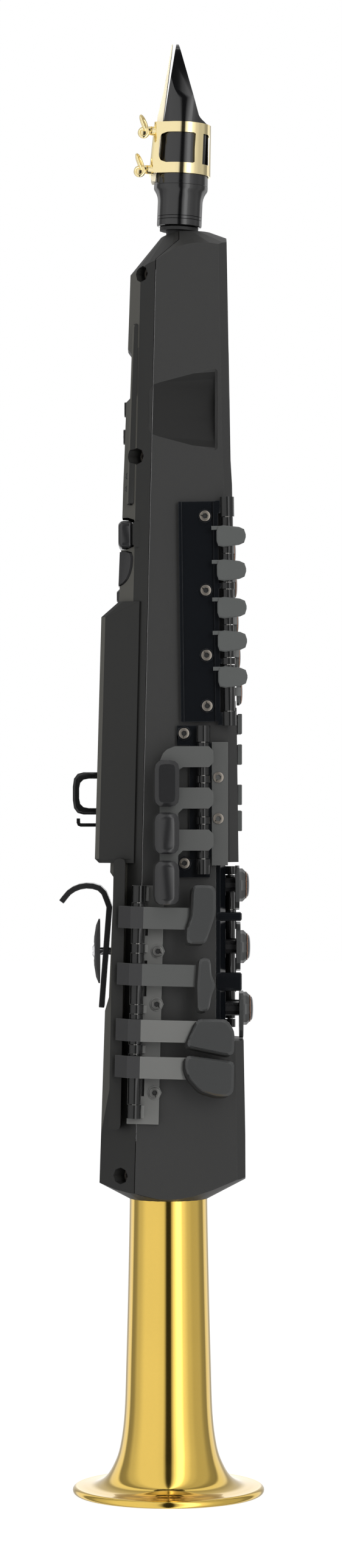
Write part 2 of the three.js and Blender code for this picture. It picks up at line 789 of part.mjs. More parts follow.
function mouthpieceSolid() {
  const groove = mouth.ringWidth / 2;
  const round = turned([[0, 0], [mouth.shankRadius, 0],
    [mouth.shankRadius, mouth.ringZ - groove], [mouth.shankRadius - groove, mouth.ringZ],
    [mouth.shankRadius, mouth.ringZ + groove], [mouth.shankRadius - groove, mouth.ringZ + 2 * groove],
    [mouth.shankRadius, mouth.ringZ + 3 * groove], [mouth.shankRadius, mouth.shankLength],
    [between(mouth.shankRadius, mouth.bodyRadius, flareShare), between(mouth.shankLength, mouth.bodyStart, 0.5)],
    [mouth.bodyRadius, mouth.bodyStart], [mouth.shoulderRadius, mouth.shoulder],
    [mouth.shoulderRadius, mouth.length], [0, mouth.length]], sides.mouth);
  const wide = mouth.bodyRadius + overrun;
  const tipFront = mouth.tipX + mouth.tipThickness;
  const brow = browShares.map(([in_, up]) => [between(mouth.beakX, mouth.shoulderRadius, in_),
    between(mouth.shoulder, mouth.beakZ, up)]);
  const side = prismY([
    [-wide, -overrun], [wide, -overrun], [wide, mouth.shoulder - overrun],
    [mouth.shoulderRadius, mouth.shoulder], ...brow, [mouth.beakX, mouth.beakZ], [tipFront, mouth.length], [mouth.tipX, mouth.length],
    [mouth.tableX, mouth.shoulder], [mouth.tableFootX, mouth.tableFootZ],
    [-wide, mouth.tableFootZ - overrun],
  ], -wide, wide);
  const plan = prismX(tipPlan(mouth.tipHalfWidth, wide, mouth.shoulder, -overrun), -wide, wide);
  const bore = bar([0, 0, -overrun], [0, 0, mouth.boreDepth], mouth.boreRadius, sides.tube);
  const roofFoot = mouth.beakX - 2 * mouth.roof;
  const window = prismY([
    [-wide, mouth.boreDepth - overrun], [roofFoot, mouth.boreDepth - overrun], [roofFoot, mouth.beakZ],
    [tableAt(mouth.windowTop) + fit, mouth.windowTop], [-wide, mouth.windowTop],
  ], -mouth.windowHalfWidth, mouth.windowHalfWidth);
  return cut(common(round, side, plan), bore, window);
}
const flareShare = 0.28;
const browShares = [[0.45, 0.3], [0.15, 0.65]];
const tipShares = [[0.86, 0.42], [0.52, 0.11]];

// Plan of a blade that narrows to a round tip, as [y, z]
function tipPlan(tipHalf, footHalf, shoulderZ, low) {
  const high = mouth.length;
  const right = [
    [footHalf, low], [footHalf, shoulderZ], [tipHalf, high - tipHalf],
    ...tipShares.map(([out, down]) => [tipHalf * out, high - tipHalf * down]), [0, high],
  ];
  const left = right.slice(0, -1).map(([y, z]) => [-y, z]).reverse();
  return [...right, ...left];
}

// Reed: flat on the table, thinned to its tip
const reed = {
  heelZ: 21,
  heelX: -14.6,
  heelChamfer: 1.2,
  vampZ: 52,
  vampX: -12.7,
  heelHalfWidth: 6.2,
  tipHalfWidth: 7.6,
  tipThickness: 0.35,
  tipGap: 0.56,
  vampShares: [[0.3, 0.66], [0.6, 0.33]],
};

function reedSolid() {
  const tipInner = mouth.tipX - reed.tipGap - fit - mouth.tipThickness;
  const top = mouth.length - fit;
  const vampDepth = tipInner - reed.vampX;
  const side = prismY([
    [mouth.tableFootX - fit, reed.heelZ], [mouth.tableX - fit, mouth.shoulder], [tipInner, top],
    [tipInner - reed.tipThickness, top],
    ...reed.vampShares.map(([deep, up]) => [tipInner - vampDepth * deep, between(reed.vampZ, top, up)]),
    [reed.vampX, reed.vampZ], [reed.heelX, reed.heelZ + reed.heelChamfer],
    [reed.heelX + reed.heelChamfer / 2, reed.heelZ],
  ], -mouth.bodyRadius, mouth.bodyRadius);
  const halfPlan = tipPlan(reed.tipHalfWidth, reed.heelHalfWidth, mouth.shoulder, -overrun);
  return common(side, prismX(halfPlan, -2 * mouth.bodyRadius, 0));
}

// Ligature: a band round the mouthpiece and the reed, cut away to two hoops joined by strips
const ligature = {
  bottom: 24.7,
  top: 49.4,
  thickness: 0.9,
  hoop: 5,
  wrapAngle: 122,
  windowBackX: -11.2,
  windowFrontX: 6.2,
  stripX: 9.8,
  frontX: 12.9,
  corner: 2.6,
  cornerShare: 0.33,
  bossRadius: 2.2,
  bossLength: 3,
  bossDepth: 4.2,
  screwHeights: [26.2, 45],
  holeRadius: 1.3,
  holeDepth: 2.4,
};
const screwTurn = THREE.MathUtils.degToRad(25);

function ligatureRing(z, grow) {
  const radius = readTable([[mouth.bodyStart, mouth.bodyRadius], [mouth.shoulder, mouth.shoulderRadius]], z, 1)
    + fit + grow;
  const back = readTable([[reed.heelZ, reed.heelX], [reed.vampZ, reed.vampX]], z, 1) - fit - grow;
  const half = reed.heelHalfWidth + 2 * fit + grow;
  const reach = THREE.MathUtils.degToRad(ligature.wrapAngle);
  const arc = Array.from({ length: sides.band + 1 }, (_, i) => between(-reach, reach, i / sides.band))
    .map((a) => [radius * Math.cos(a), radius * Math.sin(a), z]);
  return [...arc, [back + fit, half, z], [back, half - fit, z], [back, fit - half, z], [back + fit, -half, z]];
}

function ligatureBand(grow, extra) {
  const levels = [ligature.bottom - extra, between(ligature.bottom, ligature.top, 0.5), ligature.top + extra];
  return loft(levels.map((z) => ligatureRing(z, grow)));
}

// How far from the axis a screw's boss ends
function bossEnd(z) {
  const back = readTable([[reed.heelZ, reed.heelX], [reed.vampZ, reed.vampX]], z, 1);
  return -back / Math.cos(screwTurn) + ligature.bossLength;
}

function ligatureSolid() {
  const aim = (distance, z) => [-distance * Math.cos(screwTurn), -distance * Math.sin(screwTurn), z];
  const bosses = ligature.screwHeights.map((z) => bar(aim(bossEnd(z) - ligature.bossDepth, z),
    aim(bossEnd(z), z), ligature.bossRadius, sides.small));
  const holes = ligature.screwHeights.map((z) => bar(aim(bossEnd(z) - ligature.holeDepth, z),
    aim(bossEnd(z) + overrun, z), ligature.holeRadius, sides.bore));
  const low = ligature.bottom + ligature.hoop;
  const high = ligature.top - ligature.hoop;
  const wide = 2 * mouth.bodyRadius;
  const windows = [[ligature.windowBackX, ligature.windowFrontX], [ligature.stripX, ligature.frontX]]
    .map(([back, front]) => prismY([[back, low], [front, low], [front, high], [back, high]], -wide, wide,
      { corner: Math.min(ligature.corner, (front - back) * ligature.cornerShare) }));
  return cut(join(ligatureBand(ligature.thickness, 0), ...bosses), ligatureBand(0, overrun), ...windows, ...holes);
}

// Wing screw, drawn along -X from the face of its boss
const wing = {
  shankRadius: 1,
  collarRadius: 1.9,
  collarLength: 1.3,
  thickness: 1.4,
  up: 8,
  down: 3.4,
  topHalf: 1.3,
  waistHalf: 1.5,
  lowHalf: 2.7,
  corner: 1.1,
  edge: 0.35,
};

function wingScrewSolid() {
  const collarEnd = -fit - wing.collarLength;
  const outline = [[-wing.topHalf, wing.up], [-wing.waistHalf, wing.lowHalf / 2], [-wing.lowHalf, 0],
    [-wing.waistHalf, -wing.down], [wing.waistHalf, -wing.down], [wing.lowHalf, 0],
    [wing.waistHalf, wing.lowHalf / 2], [wing.topHalf, wing.up]];
  return join(
    bar([ligature.holeDepth - fit, 0, 0], [collarEnd, 0, 0], wing.shankRadius, sides.rod),
    bar([-fit, 0, 0], [collarEnd - wing.thickness / 2, 0, 0], wing.collarRadius, sides.small),
    prismX(outline, collarEnd - wing.thickness, collarEnd, { corner: wing.corner, edge: wing.edge }),
  );
}

// Pieces in the back panel
function displaySolid() {
  const outer = backX((display.bottom + display.top) / 2) + display.sunk;
  return solidFrom(panelBlock(display, outer, outer + display.thickness, 0, display.corner));
}

function volumeButtonSolid(z) {
  const outer = backX(z) - volumeButton.proud;
  const span = volumeSpan(z);
  const outline = [[-span.halfWidth, span.bottom], [span.halfWidth, span.bottom],
    [span.halfWidth, span.top], [-span.halfWidth, span.top]];
  return solidFrom(prismX(outline, outer, outer + volumeButton.length, { corner: volumeButton.corner, edge: 0.5 * fit }));
}

function functionButtonSolid(z) {
  const b = functionButton;
  const upright = turnedX([[0, 0], [b.radius - b.crown, 0], [b.radius, b.crown], [b.radius, b.length],
    [0, b.length]], [-b.proud, 0, 0], sides.small);
  return solidFrom(upright.applyMatrix4(onRightFacet(z)));
}

function octaveKeySolid() {
  const outline = [[-octave.halfWidth, octave.bottom], [octave.halfWidth, octave.bottom],
    [octave.halfWidth, octave.top], [-octave.halfWidth, octave.top]];
  return solidFrom(cushion(alongX, outline, octave.backX, octave.frontX,
    { corner: octave.corner, edge: octave.edge, curve: 3 }));
}

function thumbRestSolid() {
  return thumbRestForm(0, thumbRest.proud, thumbRest.sunk);
}

function controllerSolid() {
  const { bottom, top, halfWidth } = controllerSpan();
  const outline = [[-halfWidth, bottom], [halfWidth, bottom], [halfWidth, top], [-halfWidth, top]];
  const head = cushion(alongX, outline, controller.backX, controller.backX + controller.thickness,
    { corner: controller.corner, edge: controller.edge, curve: 3 });
  const stem = bar([controller.backX + controller.thickness / 2, 0, controller.z],
    [controller.stemEnd, 0, controller.z], controller.stemRadius, sides.small);
  return join(head, stem);
}

// What hangs on the bulge
function doorSolid() {
  const outline = [[bulgeBack(door.bottom), door.bottom], [bulgeBack(door.top), door.top],
    [bulgeBack(door.top) + door.thickness, door.top], [bulgeBack(door.bottom) + door.thickness, door.bottom]];
  const wide = 2 * door.halfWidth;
  const plan = [[-door.halfWidth, door.bottom], [door.halfWidth, door.bottom],
    [door.halfWidth, door.top], [-door.halfWidth, door.top]];
  const corners = prismX(plan, outsideX, 0, { corner: door.corner });
  return common(prismY(outline, -wide, wide), corners);
}

function strapRingSolid() {
  const { bottom, top, reach, thickness, rootX, corner, innerCorner, edge } = strapRing;
  const half = thickness / 2;
  const outer = prismY([[-reach, bottom], [rootX, bottom], [rootX, top], [-reach, top]], -half, half,
    { corner, edge, curve: 3 });
  const inner = prismY([[-reach + thickness, bottom + thickness], [rootX + reach, bottom + thickness],
    [rootX + reach, top - thickness], [-reach + thickness, top - thickness]], -reach, reach,
  { corner: innerCorner, curve: 3 });
  const square = prismY([[rootX - corner, bottom], [rootX, bottom], [rootX, top], [rootX - corner, top]], -half, half,
    { edge });
  return cut(join(outer, square), inner);
}

function cableHookSolid() {
  const { z, thickness, reach, tip, width, rootX, bend } = cableHook;
  const low = z - thickness / 2;
  const outline = [
    [rootX, low], [-reach + bend, low], [-reach + bend * arcShare, low + bend * arcShare], [-reach, low + bend],
    [-reach, tip], [-reach + thickness, tip], [-reach + thickness, low + bend],
    [-reach + bend, low + thickness], [rootX, low + thickness],
  ];
  return solidFrom(prismY(outline, -width / 2, width / 2));
}

const arcShare = 0.3;

// The hook's strip: straight down the body, bent out over the thumb to a tip
function hookLow() {
  const gap = fit + hook.thickness / 2;
  return new THREE.Vector2(backX(hook.bottom - gap) - gap, hook.bottom);
}

function hookBend() {
  return new THREE.Vector2(backX(hook.bendBottom) - fit - hook.thickness / 2, hook.bendBottom);
}

function partWay(from, to, [alongX, alongZ]) {
  return new THREE.Vector2(between(from.x, to.x, alongX), between(from.y, to.y, alongZ));
}

function hookLine() {
  const low = hookLow();
  const bend = hookBend();
  const arch = new THREE.Vector2(hook.archX, hook.archZ);
  const tip = new THREE.Vector2(hook.tipX, hook.tipZ);
  const start = partWay(bend, arch, hook.riseShares);
  const reach = partWay(arch, tip, hook.fallShares);
  const curve = new THREE.SplineCurve([bend, start, arch, reach, tip]);
  return [low, ...curve.getPoints(sides.strip)];
}

function thumbHookSolid() {
  const line = hookLine();
  const half = hook.thickness / 2;
  const faces = line.map((point, i) => {
    const before = line[Math.max(i - 1, 0)];
    const after = line[Math.min(i + 1, line.length - 1)];
    const across = after.clone().sub(before).normalize().rotateAround(new THREE.Vector2(), Math.PI / 2);
    return [point.clone().addScaledVector(across, half), point.clone().addScaledVector(across, -half)];
  });
  const outline = [...faces.map(([a]) => a), ...faces.map(([, b]) => b).reverse()].map((p) => [p.x, p.y]);
  const bent = prismY(outline, -hook.halfWidth, hook.halfWidth);
  const slotHalf = hookScrew.shankRadius + fit;
  const slot = prismX([
    [-slotHalf, hook.screwZ - hook.slotHalf - slotHalf], [slotHalf, hook.screwZ - hook.slotHalf - slotHalf],
    [slotHalf, hook.screwZ + hook.slotHalf + slotHalf], [-slotHalf, hook.screwZ + hook.slotHalf + slotHalf],
  ], outsideX, 0, { corner: slotHalf });
  return cut(bent, slot);
}

// Outer face of the hook's straight part
function hookFace(z) {
  const low = hookLow();
  const bend = hookBend();
  return between(low.x, bend.x, (z - low.y) / (bend.y - low.y)) - hook.thickness / 2;
}

function hookPadSolid() {
  const face = hookFace(hook.screwZ - hookPad.halfHeight) - fit;
  const dome = new THREE.SphereGeometry(1, sides.tube, sides.rod)
    .scale(hookPad.thickness, hookPad.halfWidth, hookPad.halfHeight)
    .translate(face, 0, hook.screwZ);
  const wide = 2 * hookPad.halfHeight;
  const half = box([face - wide, -wide, hook.screwZ - wide], [face, wide, hook.screwZ + wide]);
  const seat = bar([face - wide, 0, hook.screwZ], [face - hookPad.thickness / 2, 0, hook.screwZ],
    hookScrew.headRadius + fit, sides.tube);
  const hole = bar([face - wide, 0, hook.screwZ], [face + wide, 0, hook.screwZ], hookScrew.shankRadius + fit);
  return cut(common(dome, half), seat, hole);
}

function hookScrewSolid() {
  const seat = hookFace(hook.screwZ - hookPad.halfHeight) - fit - hookPad.thickness / 2 - fit;
  const slot = hookScrew.headHeight / 2;
  const head = turnedX([[0, -hookScrew.headHeight - slot], [hookScrew.headRadius / 2, -hookScrew.headHeight - slot],
    [hookScrew.headRadius, -slot], [hookScrew.headRadius, 0], [hookScrew.shankRadius, 0],
    [hookScrew.shankRadius, hookScrew.length], [0, hookScrew.length]], [seat, 0, hook.screwZ],
  sides.tube);
  const wide = 2 * hookScrew.headRadius;
  const slit = box([seat - wide, -wide, hook.screwZ - slot / 2],
    [seat - hookScrew.headHeight, wide, hook.screwZ + slot / 2]);
  return cut(head, slit);
}

// Inner pieces
const battery = { radius: 7.1, headroom: 14.5, x: -20.5 };
const driver = { radius: 18.1, height: 11, coneRadius: 12, coneDepth: 5 };

function boardSolid() {
  return solidFrom(box([board.x, -board.halfWidth, board.bottom],
    [board.x + board.thickness, board.halfWidth, board.top]));
}

// Two pairs of round cells shrunk into one pack
function batterySolid() {
  const low = bulge.bottom + bulge.wall + fit;
  const high = bulge.shoulder - battery.headroom;
  const cell = (y) => bar([battery.x, y, low], [battery.x, y, high], battery.radius, sides.tube);
  const web = box([battery.x - battery.radius / 2, -battery.radius, low],
    [battery.x + battery.radius / 2, battery.radius, high]);
  return join(cell(-battery.radius), cell(battery.radius), web);
}

function driverSolid() {
  const low = bellTop + fit;
  return solidFrom(turned([[0, low + driver.coneDepth], [driver.coneRadius / 2, low + driver.coneDepth],
    [driver.coneRadius, low], [driver.radius, low], [driver.radius, low + driver.height / 2],
    [driver.coneRadius, low + driver.height / 2], [driver.coneRadius, low + driver.height],
    [0, low + driver.height]], sides.tube));
}

// What all the key stacks share
const stack = {
  rodRadius: 1.3,
  plateThickness: 2,
  seatY: body.halfWidth + fit,
  screwBossRadius: 3.3,
  screwBossHeight: 0.8,
  armThickness: 2.4,
};

// A strip of even thickness along a line of [u, v] points
function strip(line, thickness) {
  const points = line.map(([u, v]) => new THREE.Vector2(u, v));
  const last = points.length - 1;
  const sides = points.map((point, i) => {
    const inward = point.clone().sub(points[Math.max(i - 1, 0)]).normalize();
    const outward = points[Math.min(i + 1, last)].clone().sub(point).normalize();
    const along = inward.add(outward).normalize();
    const across = along.clone().rotateAround(new THREE.Vector2(), Math.PI / 2);
    const turn = i === 0 || i === last ? 1 : along.dot(points[i + 1].clone().sub(point).normalize());
    const half = thickness / 2 / turn;
    return [point.clone().addScaledVector(across, half), point.clone().addScaledVector(across, -half)];
  });
  return [...sides.map(([a]) => [a.x, a.y]), ...sides.map(([, b]) => [b.x, b.y]).reverse()];
}

// Socket screws on a plate. side is -1 on the right of the body and 1 on the left.
function screwBosses(places, faceY, side) {
  return places.map(([x, z]) => {
    const level = (out) => [x, side * (faceY + out), z];
    return solidFrom(bar(level(-stack.plateThickness / 2), level(stack.screwBossHeight), stack.screwBossRadius,
      sides.screwBoss));
  });
}

// A post round the rod, and the web that carries it on the plate
function post([low, high], { rodX, rodY, postRadius }, plateX, side) {
  const inner = side * stack.seatY;
  const y = side * rodY;
  const middle = (low + high) / 2;
  const half = Math.min((high - low) / 2, postRadius) - fit;
  const web = box([Math.min(plateX, rodX), Math.min(inner, y), middle - half],
    [Math.max(plateX, rodX), Math.max(inner, y), middle + half]);
  return join(bar([rodX, y, low], [rodX, y, high], postRadius, sides.post), web);
}

function rodBore({ rodX, rodY }, low, high, side) {
  const end = overrun;
  return bar([rodX, side * rodY, low - end], [rodX, side * rodY, high + end], stack.rodRadius + fit, sides.bore);
}

function rodSolid({ rodX, rodY }, low, high, side) {
  return solidFrom(bar([rodX, side * rodY, low], [rodX, side * rodY, high], stack.rodRadius, sides.rod));
}

// The spans of the rod that the posts leave free
function postSpans({ postShares, height }) {
  return postShares.map((span) => span.map((share) => share * height));
}

function freeSpans(posts) {
  return posts.slice(0, -1).map(([, high], i) => [high + fit, posts[i + 1][0] - fit]);
}

// Cuts a free span in two
function halves([low, high], share) {
  const middle = between(low, high, share);
  return [[low, middle - fit / 2], [middle + fit / 2, high]];
}

function sleeve([low, high], { rodX, rodY, sleeveRadius }, side) {
  return bar([rodX, side * rodY, low], [rodX, side * rodY, high], sleeveRadius, sides.sleeve);
}

// Left-hand stack, drawn from its rod and the foot of its plate, then leaned with the body's front
const leftStack = {
  x: 29.2,
  foot: 372.3,
  height: 105.2,
  rodX: 0,
  rodY: 25.5,
  postRadius: 3.35,
  sleeveRadius: 2.75,
  plateBack: -23.2,
  plateFront: -4.4,
  plateThickness: 2.6,
  flangeWidth: 1.5,
  flangeProud: 0.6,
  ribWidth: 2.3,
  ribProud: 1.6,
  screwX: -10.6,
  screwShares: [0.0713, 0.3013, 0.596, 0.9335],
  postShares: [[-0.019, 0.0447], [0.2586, 0.2871], [0.6008, 0.6293], [0.9287, 1.0181]],
  splitShares: [0.48, 0.44],
};
const leftLean = THREE.MathUtils.degToRad(-0.71);

// Left-hand keys from the bottom up: tongue and cup heights above the plate's foot, cup's reach
const leftKeys = {
  names: ['g_key', 'a_key', 'bis_key', 'b_key', 'front_f_key'],
  tongueShares: [0.2006, 0.3631, 0.5143, 0.6844, 0.8384],
  cupShares: [0.135, 0.2985, 0.4553, 0.6236, 0.7757],
  cupReaches: [6.6, 5.9, 5.2, 4.7, 4.2],
  tongueBack: -5.2,
  tongueFront: 8.7,
  tongueRootHalf: 5.5,
  tongueEndHalf: 3.9,
  tongueThickness: 2.8,
  tongueCorner: 3.2,
  edge: 0.6,
  nubReach: 2.4,
  nubHalf: 0.9,
  nubLift: 4,
  armHalf: 2,
  armTurnY: 19.6,
  cupY: 3,
  cupRadius: 6.3,
  cupThickness: 2,
  pearlRadius: 4.9,
  pearlHeight: 0.8,
};

function leftPlateSolid() {
  const inner = -stack.seatY;
  const face = inner - leftStack.plateThickness;
  const { plateBack, plateFront, flangeWidth, flangeProud, ribWidth, ribProud } = leftStack;
  const profile = [[plateBack, inner], [plateFront, inner], [plateFront, face - ribProud],
    [plateFront - ribWidth, face - ribProud], [plateFront - ribWidth, face], [plateBack + flangeWidth, face],
    [plateBack + flangeWidth, face - flangeProud], [plateBack, face - flangeProud]];
  const posts = postSpans(leftStack).map((span) => post(span, leftStack, plateFront - ribWidth / 2, -1));
  const heads = screwBosses(leftStack.screwShares.map((share) => [leftStack.screwX, share * leftStack.height]),
    stack.seatY + leftStack.plateThickness, -1);
  return cut(join(prismZ(profile, 0, leftStack.height), ...posts, ...heads),
    rodBore(leftStack, 0, leftStack.height, -1));
}

// A cup with its pearl, facing forward
function pearlCup({ cupRadius, cupThickness, pearlRadius, pearlHeight }, top, y, z) {
  const lip = pearlHeight;
  return turnedX([[0, -cupThickness - pearlHeight], [cupRadius, -cupThickness - pearlHeight],
    [cupRadius, -lip - pearlHeight], [cupRadius - lip, -pearlHeight],
    [pearlRadius, -pearlHeight], [pearlRadius, -pearlHeight / 2], [pearlRadius / 2, 0], [0, 0]], [top, y, z],
  sides.cup);
}

function leftKeySolid(index, span) {
  const k = leftKeys;
  const z = k.tongueShares[index] * leftStack.height;
  const outer = -leftStack.rodY - leftStack.sleeveRadius;
  const outline = [[k.tongueBack, z - k.tongueRootHalf], [k.tongueFront, z - k.tongueEndHalf],
    [k.tongueFront, z + k.tongueEndHalf], [k.tongueBack, z + k.tongueRootHalf]];
  const tongue = prismY(outline, outer - k.tongueThickness + k.edge, outer + k.edge,
    { corner: k.tongueCorner, edge: k.edge });
  const nubZ = z + k.nubLift;
  const nub = box([k.tongueBack - k.nubReach, outer - k.nubHalf, nubZ - k.nubHalf],
    [k.tongueBack + k.nubReach, outer + k.nubHalf / 2, nubZ + k.nubHalf]);
  const cupZ = k.cupShares[index] * leftStack.height;
  const top = k.cupReaches[index];
  const armX = top - k.pearlHeight - k.cupThickness / 2;
  const line = [[0, -leftStack.rodY], [armX, -k.armTurnY], [armX, -k.cupY]];
  const armZ = Math.max(cupZ, span[0] + k.armHalf + fit);
  const arm = prismZ(strip(line, k.cupThickness), armZ - k.armHalf, armZ + k.armHalf);
  const whole = join(sleeve(span, leftStack, -1), tongue, nub, arm, pearlCup(k, top, -k.cupY, cupZ));
  return cut(whole, rodBore(leftStack, span[0], span[1], -1));
}

function leftSpans() {
  const [g, low, high] = freeSpans(postSpans(leftStack));
  return [g, ...halves(low, leftStack.splitShares[0]), ...halves(high, leftStack.splitShares[1])];
}

// Side keys on the right: three arms over a rod, each with a capsule touch for the hand's edge
const sideStack = {
  rodX: 16.6,
  rodY: 27.5,
  postRadius: 3.3,
  sleeveRadius: 2.65,
  plateBack: 10,
  plateFront: 28.2,
  low: 307,
  high: 362,
  lugBack: 4,
  posts: [[299.4, 306.6], [323.4, 326.6], [343.1, 346.3], [362.5, 370.3]],
  screwPlaces: [[7.6, 304.6], [23.8, 325.9], [23.8, 345.6], [7.4, 366.6]],
};
const sideKeys = {
  names: ['side_b_flat_key', 'side_c_key', 'high_e_key'],
  armHeights: [315.7, 335.7, 355.4],
  touchHeights: [295.5, 319, 342.7],
  touchTall: [21, 19.7, 22.1],
  armHalf: 5,
  armFront: 21.4,
  armBack: -4.2,
  dropFront: 4.6,
  armFace: 31.4,
  touchMiddle: -0.7,
  touchHalf: 5.8,
  touchBase: 33.6,
  touchFace: 39.4,
  neckTall: 7,
  corner: 2.2,
  touchCorner: 4.4,
  touchEdge: 1.9,
  edge: 0.5,
};

function sidePlateSolid() {
  const s = sideStack;
  const inner = -stack.seatY;
  const face = inner - stack.plateThickness;
  const plate = box([s.plateBack, face, s.low], [s.plateFront, inner, s.high]);
  const ends = [s.posts[0], s.posts.at(-1)].map(([low, high]) => box([s.lugBack, face, low - s.postRadius / 2],
    [s.rodX + s.postRadius, inner, high]));
  const spine = box([s.rodX - s.postRadius, face, s.posts[0][0]], [s.rodX + s.postRadius, inner, s.posts.at(-1)[1]]);
  const posts = s.posts.map((span) => post(span, s, s.rodX + s.postRadius / 2, -1));
  const whole = join(plate, spine, ...ends, ...posts,
    ...screwBosses(s.screwPlaces, stack.seatY + stack.plateThickness, -1));
  return cut(whole, rodBore(s, s.posts[0][0], s.posts.at(-1)[1], -1));
}

function sideKeySolid(index, span) {
  const k = sideKeys;
  const z = k.armHeights[index];
  const touchZ = k.touchHeights[index];
  const tall = k.touchTall[index];
  const top = touchZ + tall / 2;
  const arm = prismY([
    [k.armFront, z + k.armHalf], [k.armBack + k.armHalf, z + k.armHalf], [k.armBack, z],
    [k.armBack, top - k.neckTall], [k.dropFront, top - k.neckTall], [k.dropFront, z - k.armHalf],
    [k.armFront, z - k.armHalf],
  ], -k.armFace, -k.armFace + stack.armThickness, { corner: k.corner, curve: 1 });
  const lowTouch = touchZ - tall / 2;
  const outline = [[k.touchMiddle - k.touchHalf, lowTouch], [k.touchMiddle + k.touchHalf, lowTouch],
    [k.touchMiddle + k.touchHalf, top], [k.touchMiddle - k.touchHalf, top]];
  const touch = prismY(outline, -k.touchFace, -k.touchBase,
    { corner: k.touchCorner, edge: k.touchEdge, curve: 3 });
  const stem = box([k.touchMiddle - k.armBack / 2 - k.armHalf, -k.touchBase - k.touchEdge, top - k.neckTall],
    [k.touchMiddle + k.armHalf / 2, -k.armFace + k.edge, top - k.touchEdge]);
  const heel = box([sideStack.rodX - sideStack.sleeveRadius / 2, -k.armFace + k.edge, z - k.armHalf + k.edge],
    [sideStack.rodX + sideStack.sleeveRadius / 2, -sideStack.rodY, z + k.armHalf - k.edge]);
  return cut(join(arm, touch, stem, heel, sleeve(span, sideStack, -1)),
    rodBore(sideStack, span[0], span[1], -1));
}

// Lower stack on the right, drawn from its rod and leaned forward: four keys for the right hand
const lowerStack = {
  x: -16.6,
  top: 293,
  height: 113,
  rodX: 0,
  rodY: 27,
  postRadius: 3.5,
  sleeveRadius: 3.2,
  plateBack: 4.6,
  plateFront: 11.8,
  baseBack: -3.4,
  postShares: [[0.0265, 0.0841], [0.3, 0.3372], [0.469, 0.5062], [0.7257, 0.7628], [0.9381, 1.0088]],
  screwX: 9.6,
  screwShares: [0.1345, 0.5088, 0.7327],
};
const lowerLean = THREE.MathUtils.degToRad(1.36);

// Lower keys from the bottom up. Touch outlines are shares of the touch's width and height.
const lowerKeys = {
  names: ['low_c_key', 'low_e_flat_key', 'side_f_sharp_key', 'high_f_sharp_key'],
  armShares: [0.2451, 0.4, 0.6354, 0.8752],
  armHalf: 5.2,
  armBack: -8.8,
  armBackY: 25,
  shoulderX: -3.2,
  shoulderY: 31.6,
  kneeX: 2.4,
  armFace: 32.6,
  touches: [
    { back: 23.8, width: 23.3, lowShare: 0.1345, heightShare: 0.1681 },
    { back: 24.7, width: 22.2, lowShare: 0.3062, heightShare: 0.1504 },
    { back: 28.7, width: 8.9, lowShare: 0.4894, heightShare: 0.223 },
    { back: 23.2, width: 13.3, lowShare: 0.7726, heightShare: 0.246 },
  ],
  touchBase: 31.2,
  touchFace: 38,
  corner: 2,
  edge: 1.1,
  armEdge: 0.4,
};
const touchOutlineShares = [
  [[0.01, 1], [1, 0.87], [1, 0.12], [0.9, 0], [0.65, 0], [0.33, 0.11], [0.08, 0.43], [0, 0.68]],
  [[0.2, 1], [0.83, 1], [1, 0.68], [1, 0.08], [0.91, 0], [0, 0.22], [0, 0.38]],
  [[0.07, 1], [0.66, 1], [0.75, 0.66], [1, 0.5], [0.78, 0.32], [0.64, 0], [0.07, 0], [0, 0.5]],
  [[0.2, 1], [0.89, 1], [1, 0.89], [1, 0.51], [0.67, 0], [0, 0], [0, 0.26], [0.16, 0.5], [0.16, 0.89]],
];

function lowerPlateSolid() {
  const s = lowerStack;
  const inner = -stack.seatY;
  const face = inner - stack.plateThickness;
  const spans = postSpans(s);
  const top = spans.at(-1)[1];
  const base = box([s.baseBack, face, 0], [s.plateFront, inner, top]);
  const slots = freeSpans(spans).map(([low, high]) => box(
    [s.sleeveRadius, face - overrun, low + s.postRadius], [s.plateBack, inner + overrun, high - s.postRadius]));
  const posts = spans.map((span) => post(span, s, s.plateBack, -1));
  const whole = join(cut(base, ...slots), ...posts,
    ...screwBosses(s.screwShares.map((share) => [s.screwX, share * s.height]), stack.seatY + stack.plateThickness, -1));
  return cut(whole, rodBore(s, 0, top, -1));
}

function lowerKeySolid(index, span) {
  const k = lowerKeys;
  const s = lowerStack;
  const z = k.armShares[index] * s.height;
  const t = k.touches[index];
  const armEnd = t.back + stack.armThickness * 2;
  const line = [[k.armBack, -k.armBackY], [k.shoulderX, -k.shoulderY], [k.kneeX, -k.armFace], [armEnd, -k.armFace]];
  const arm = prismZ(strip(line, stack.armThickness), z - k.armHalf, z + k.armHalf);
  const outline = touchOutlineShares[index].map(([u, v]) => [t.back + t.width * u,
    (t.lowShare + t.heightShare * v) * s.height]);
  const touch = cushion(alongY, outline, -k.touchFace, -k.touchBase, { corner: k.corner, edge: k.edge });
  const heel = box([-s.sleeveRadius / 2, -k.armFace, z - k.armHalf + k.armEdge],
    [s.sleeveRadius / 2, -s.rodY, z + k.armHalf - k.armEdge]);
  return cut(join(arm, touch, heel, sleeve(span, s, -1)), rodBore(s, span[0], span[1], -1));
}

function lowerSpans() {
  return freeSpans(postSpans(lowerStack));
}

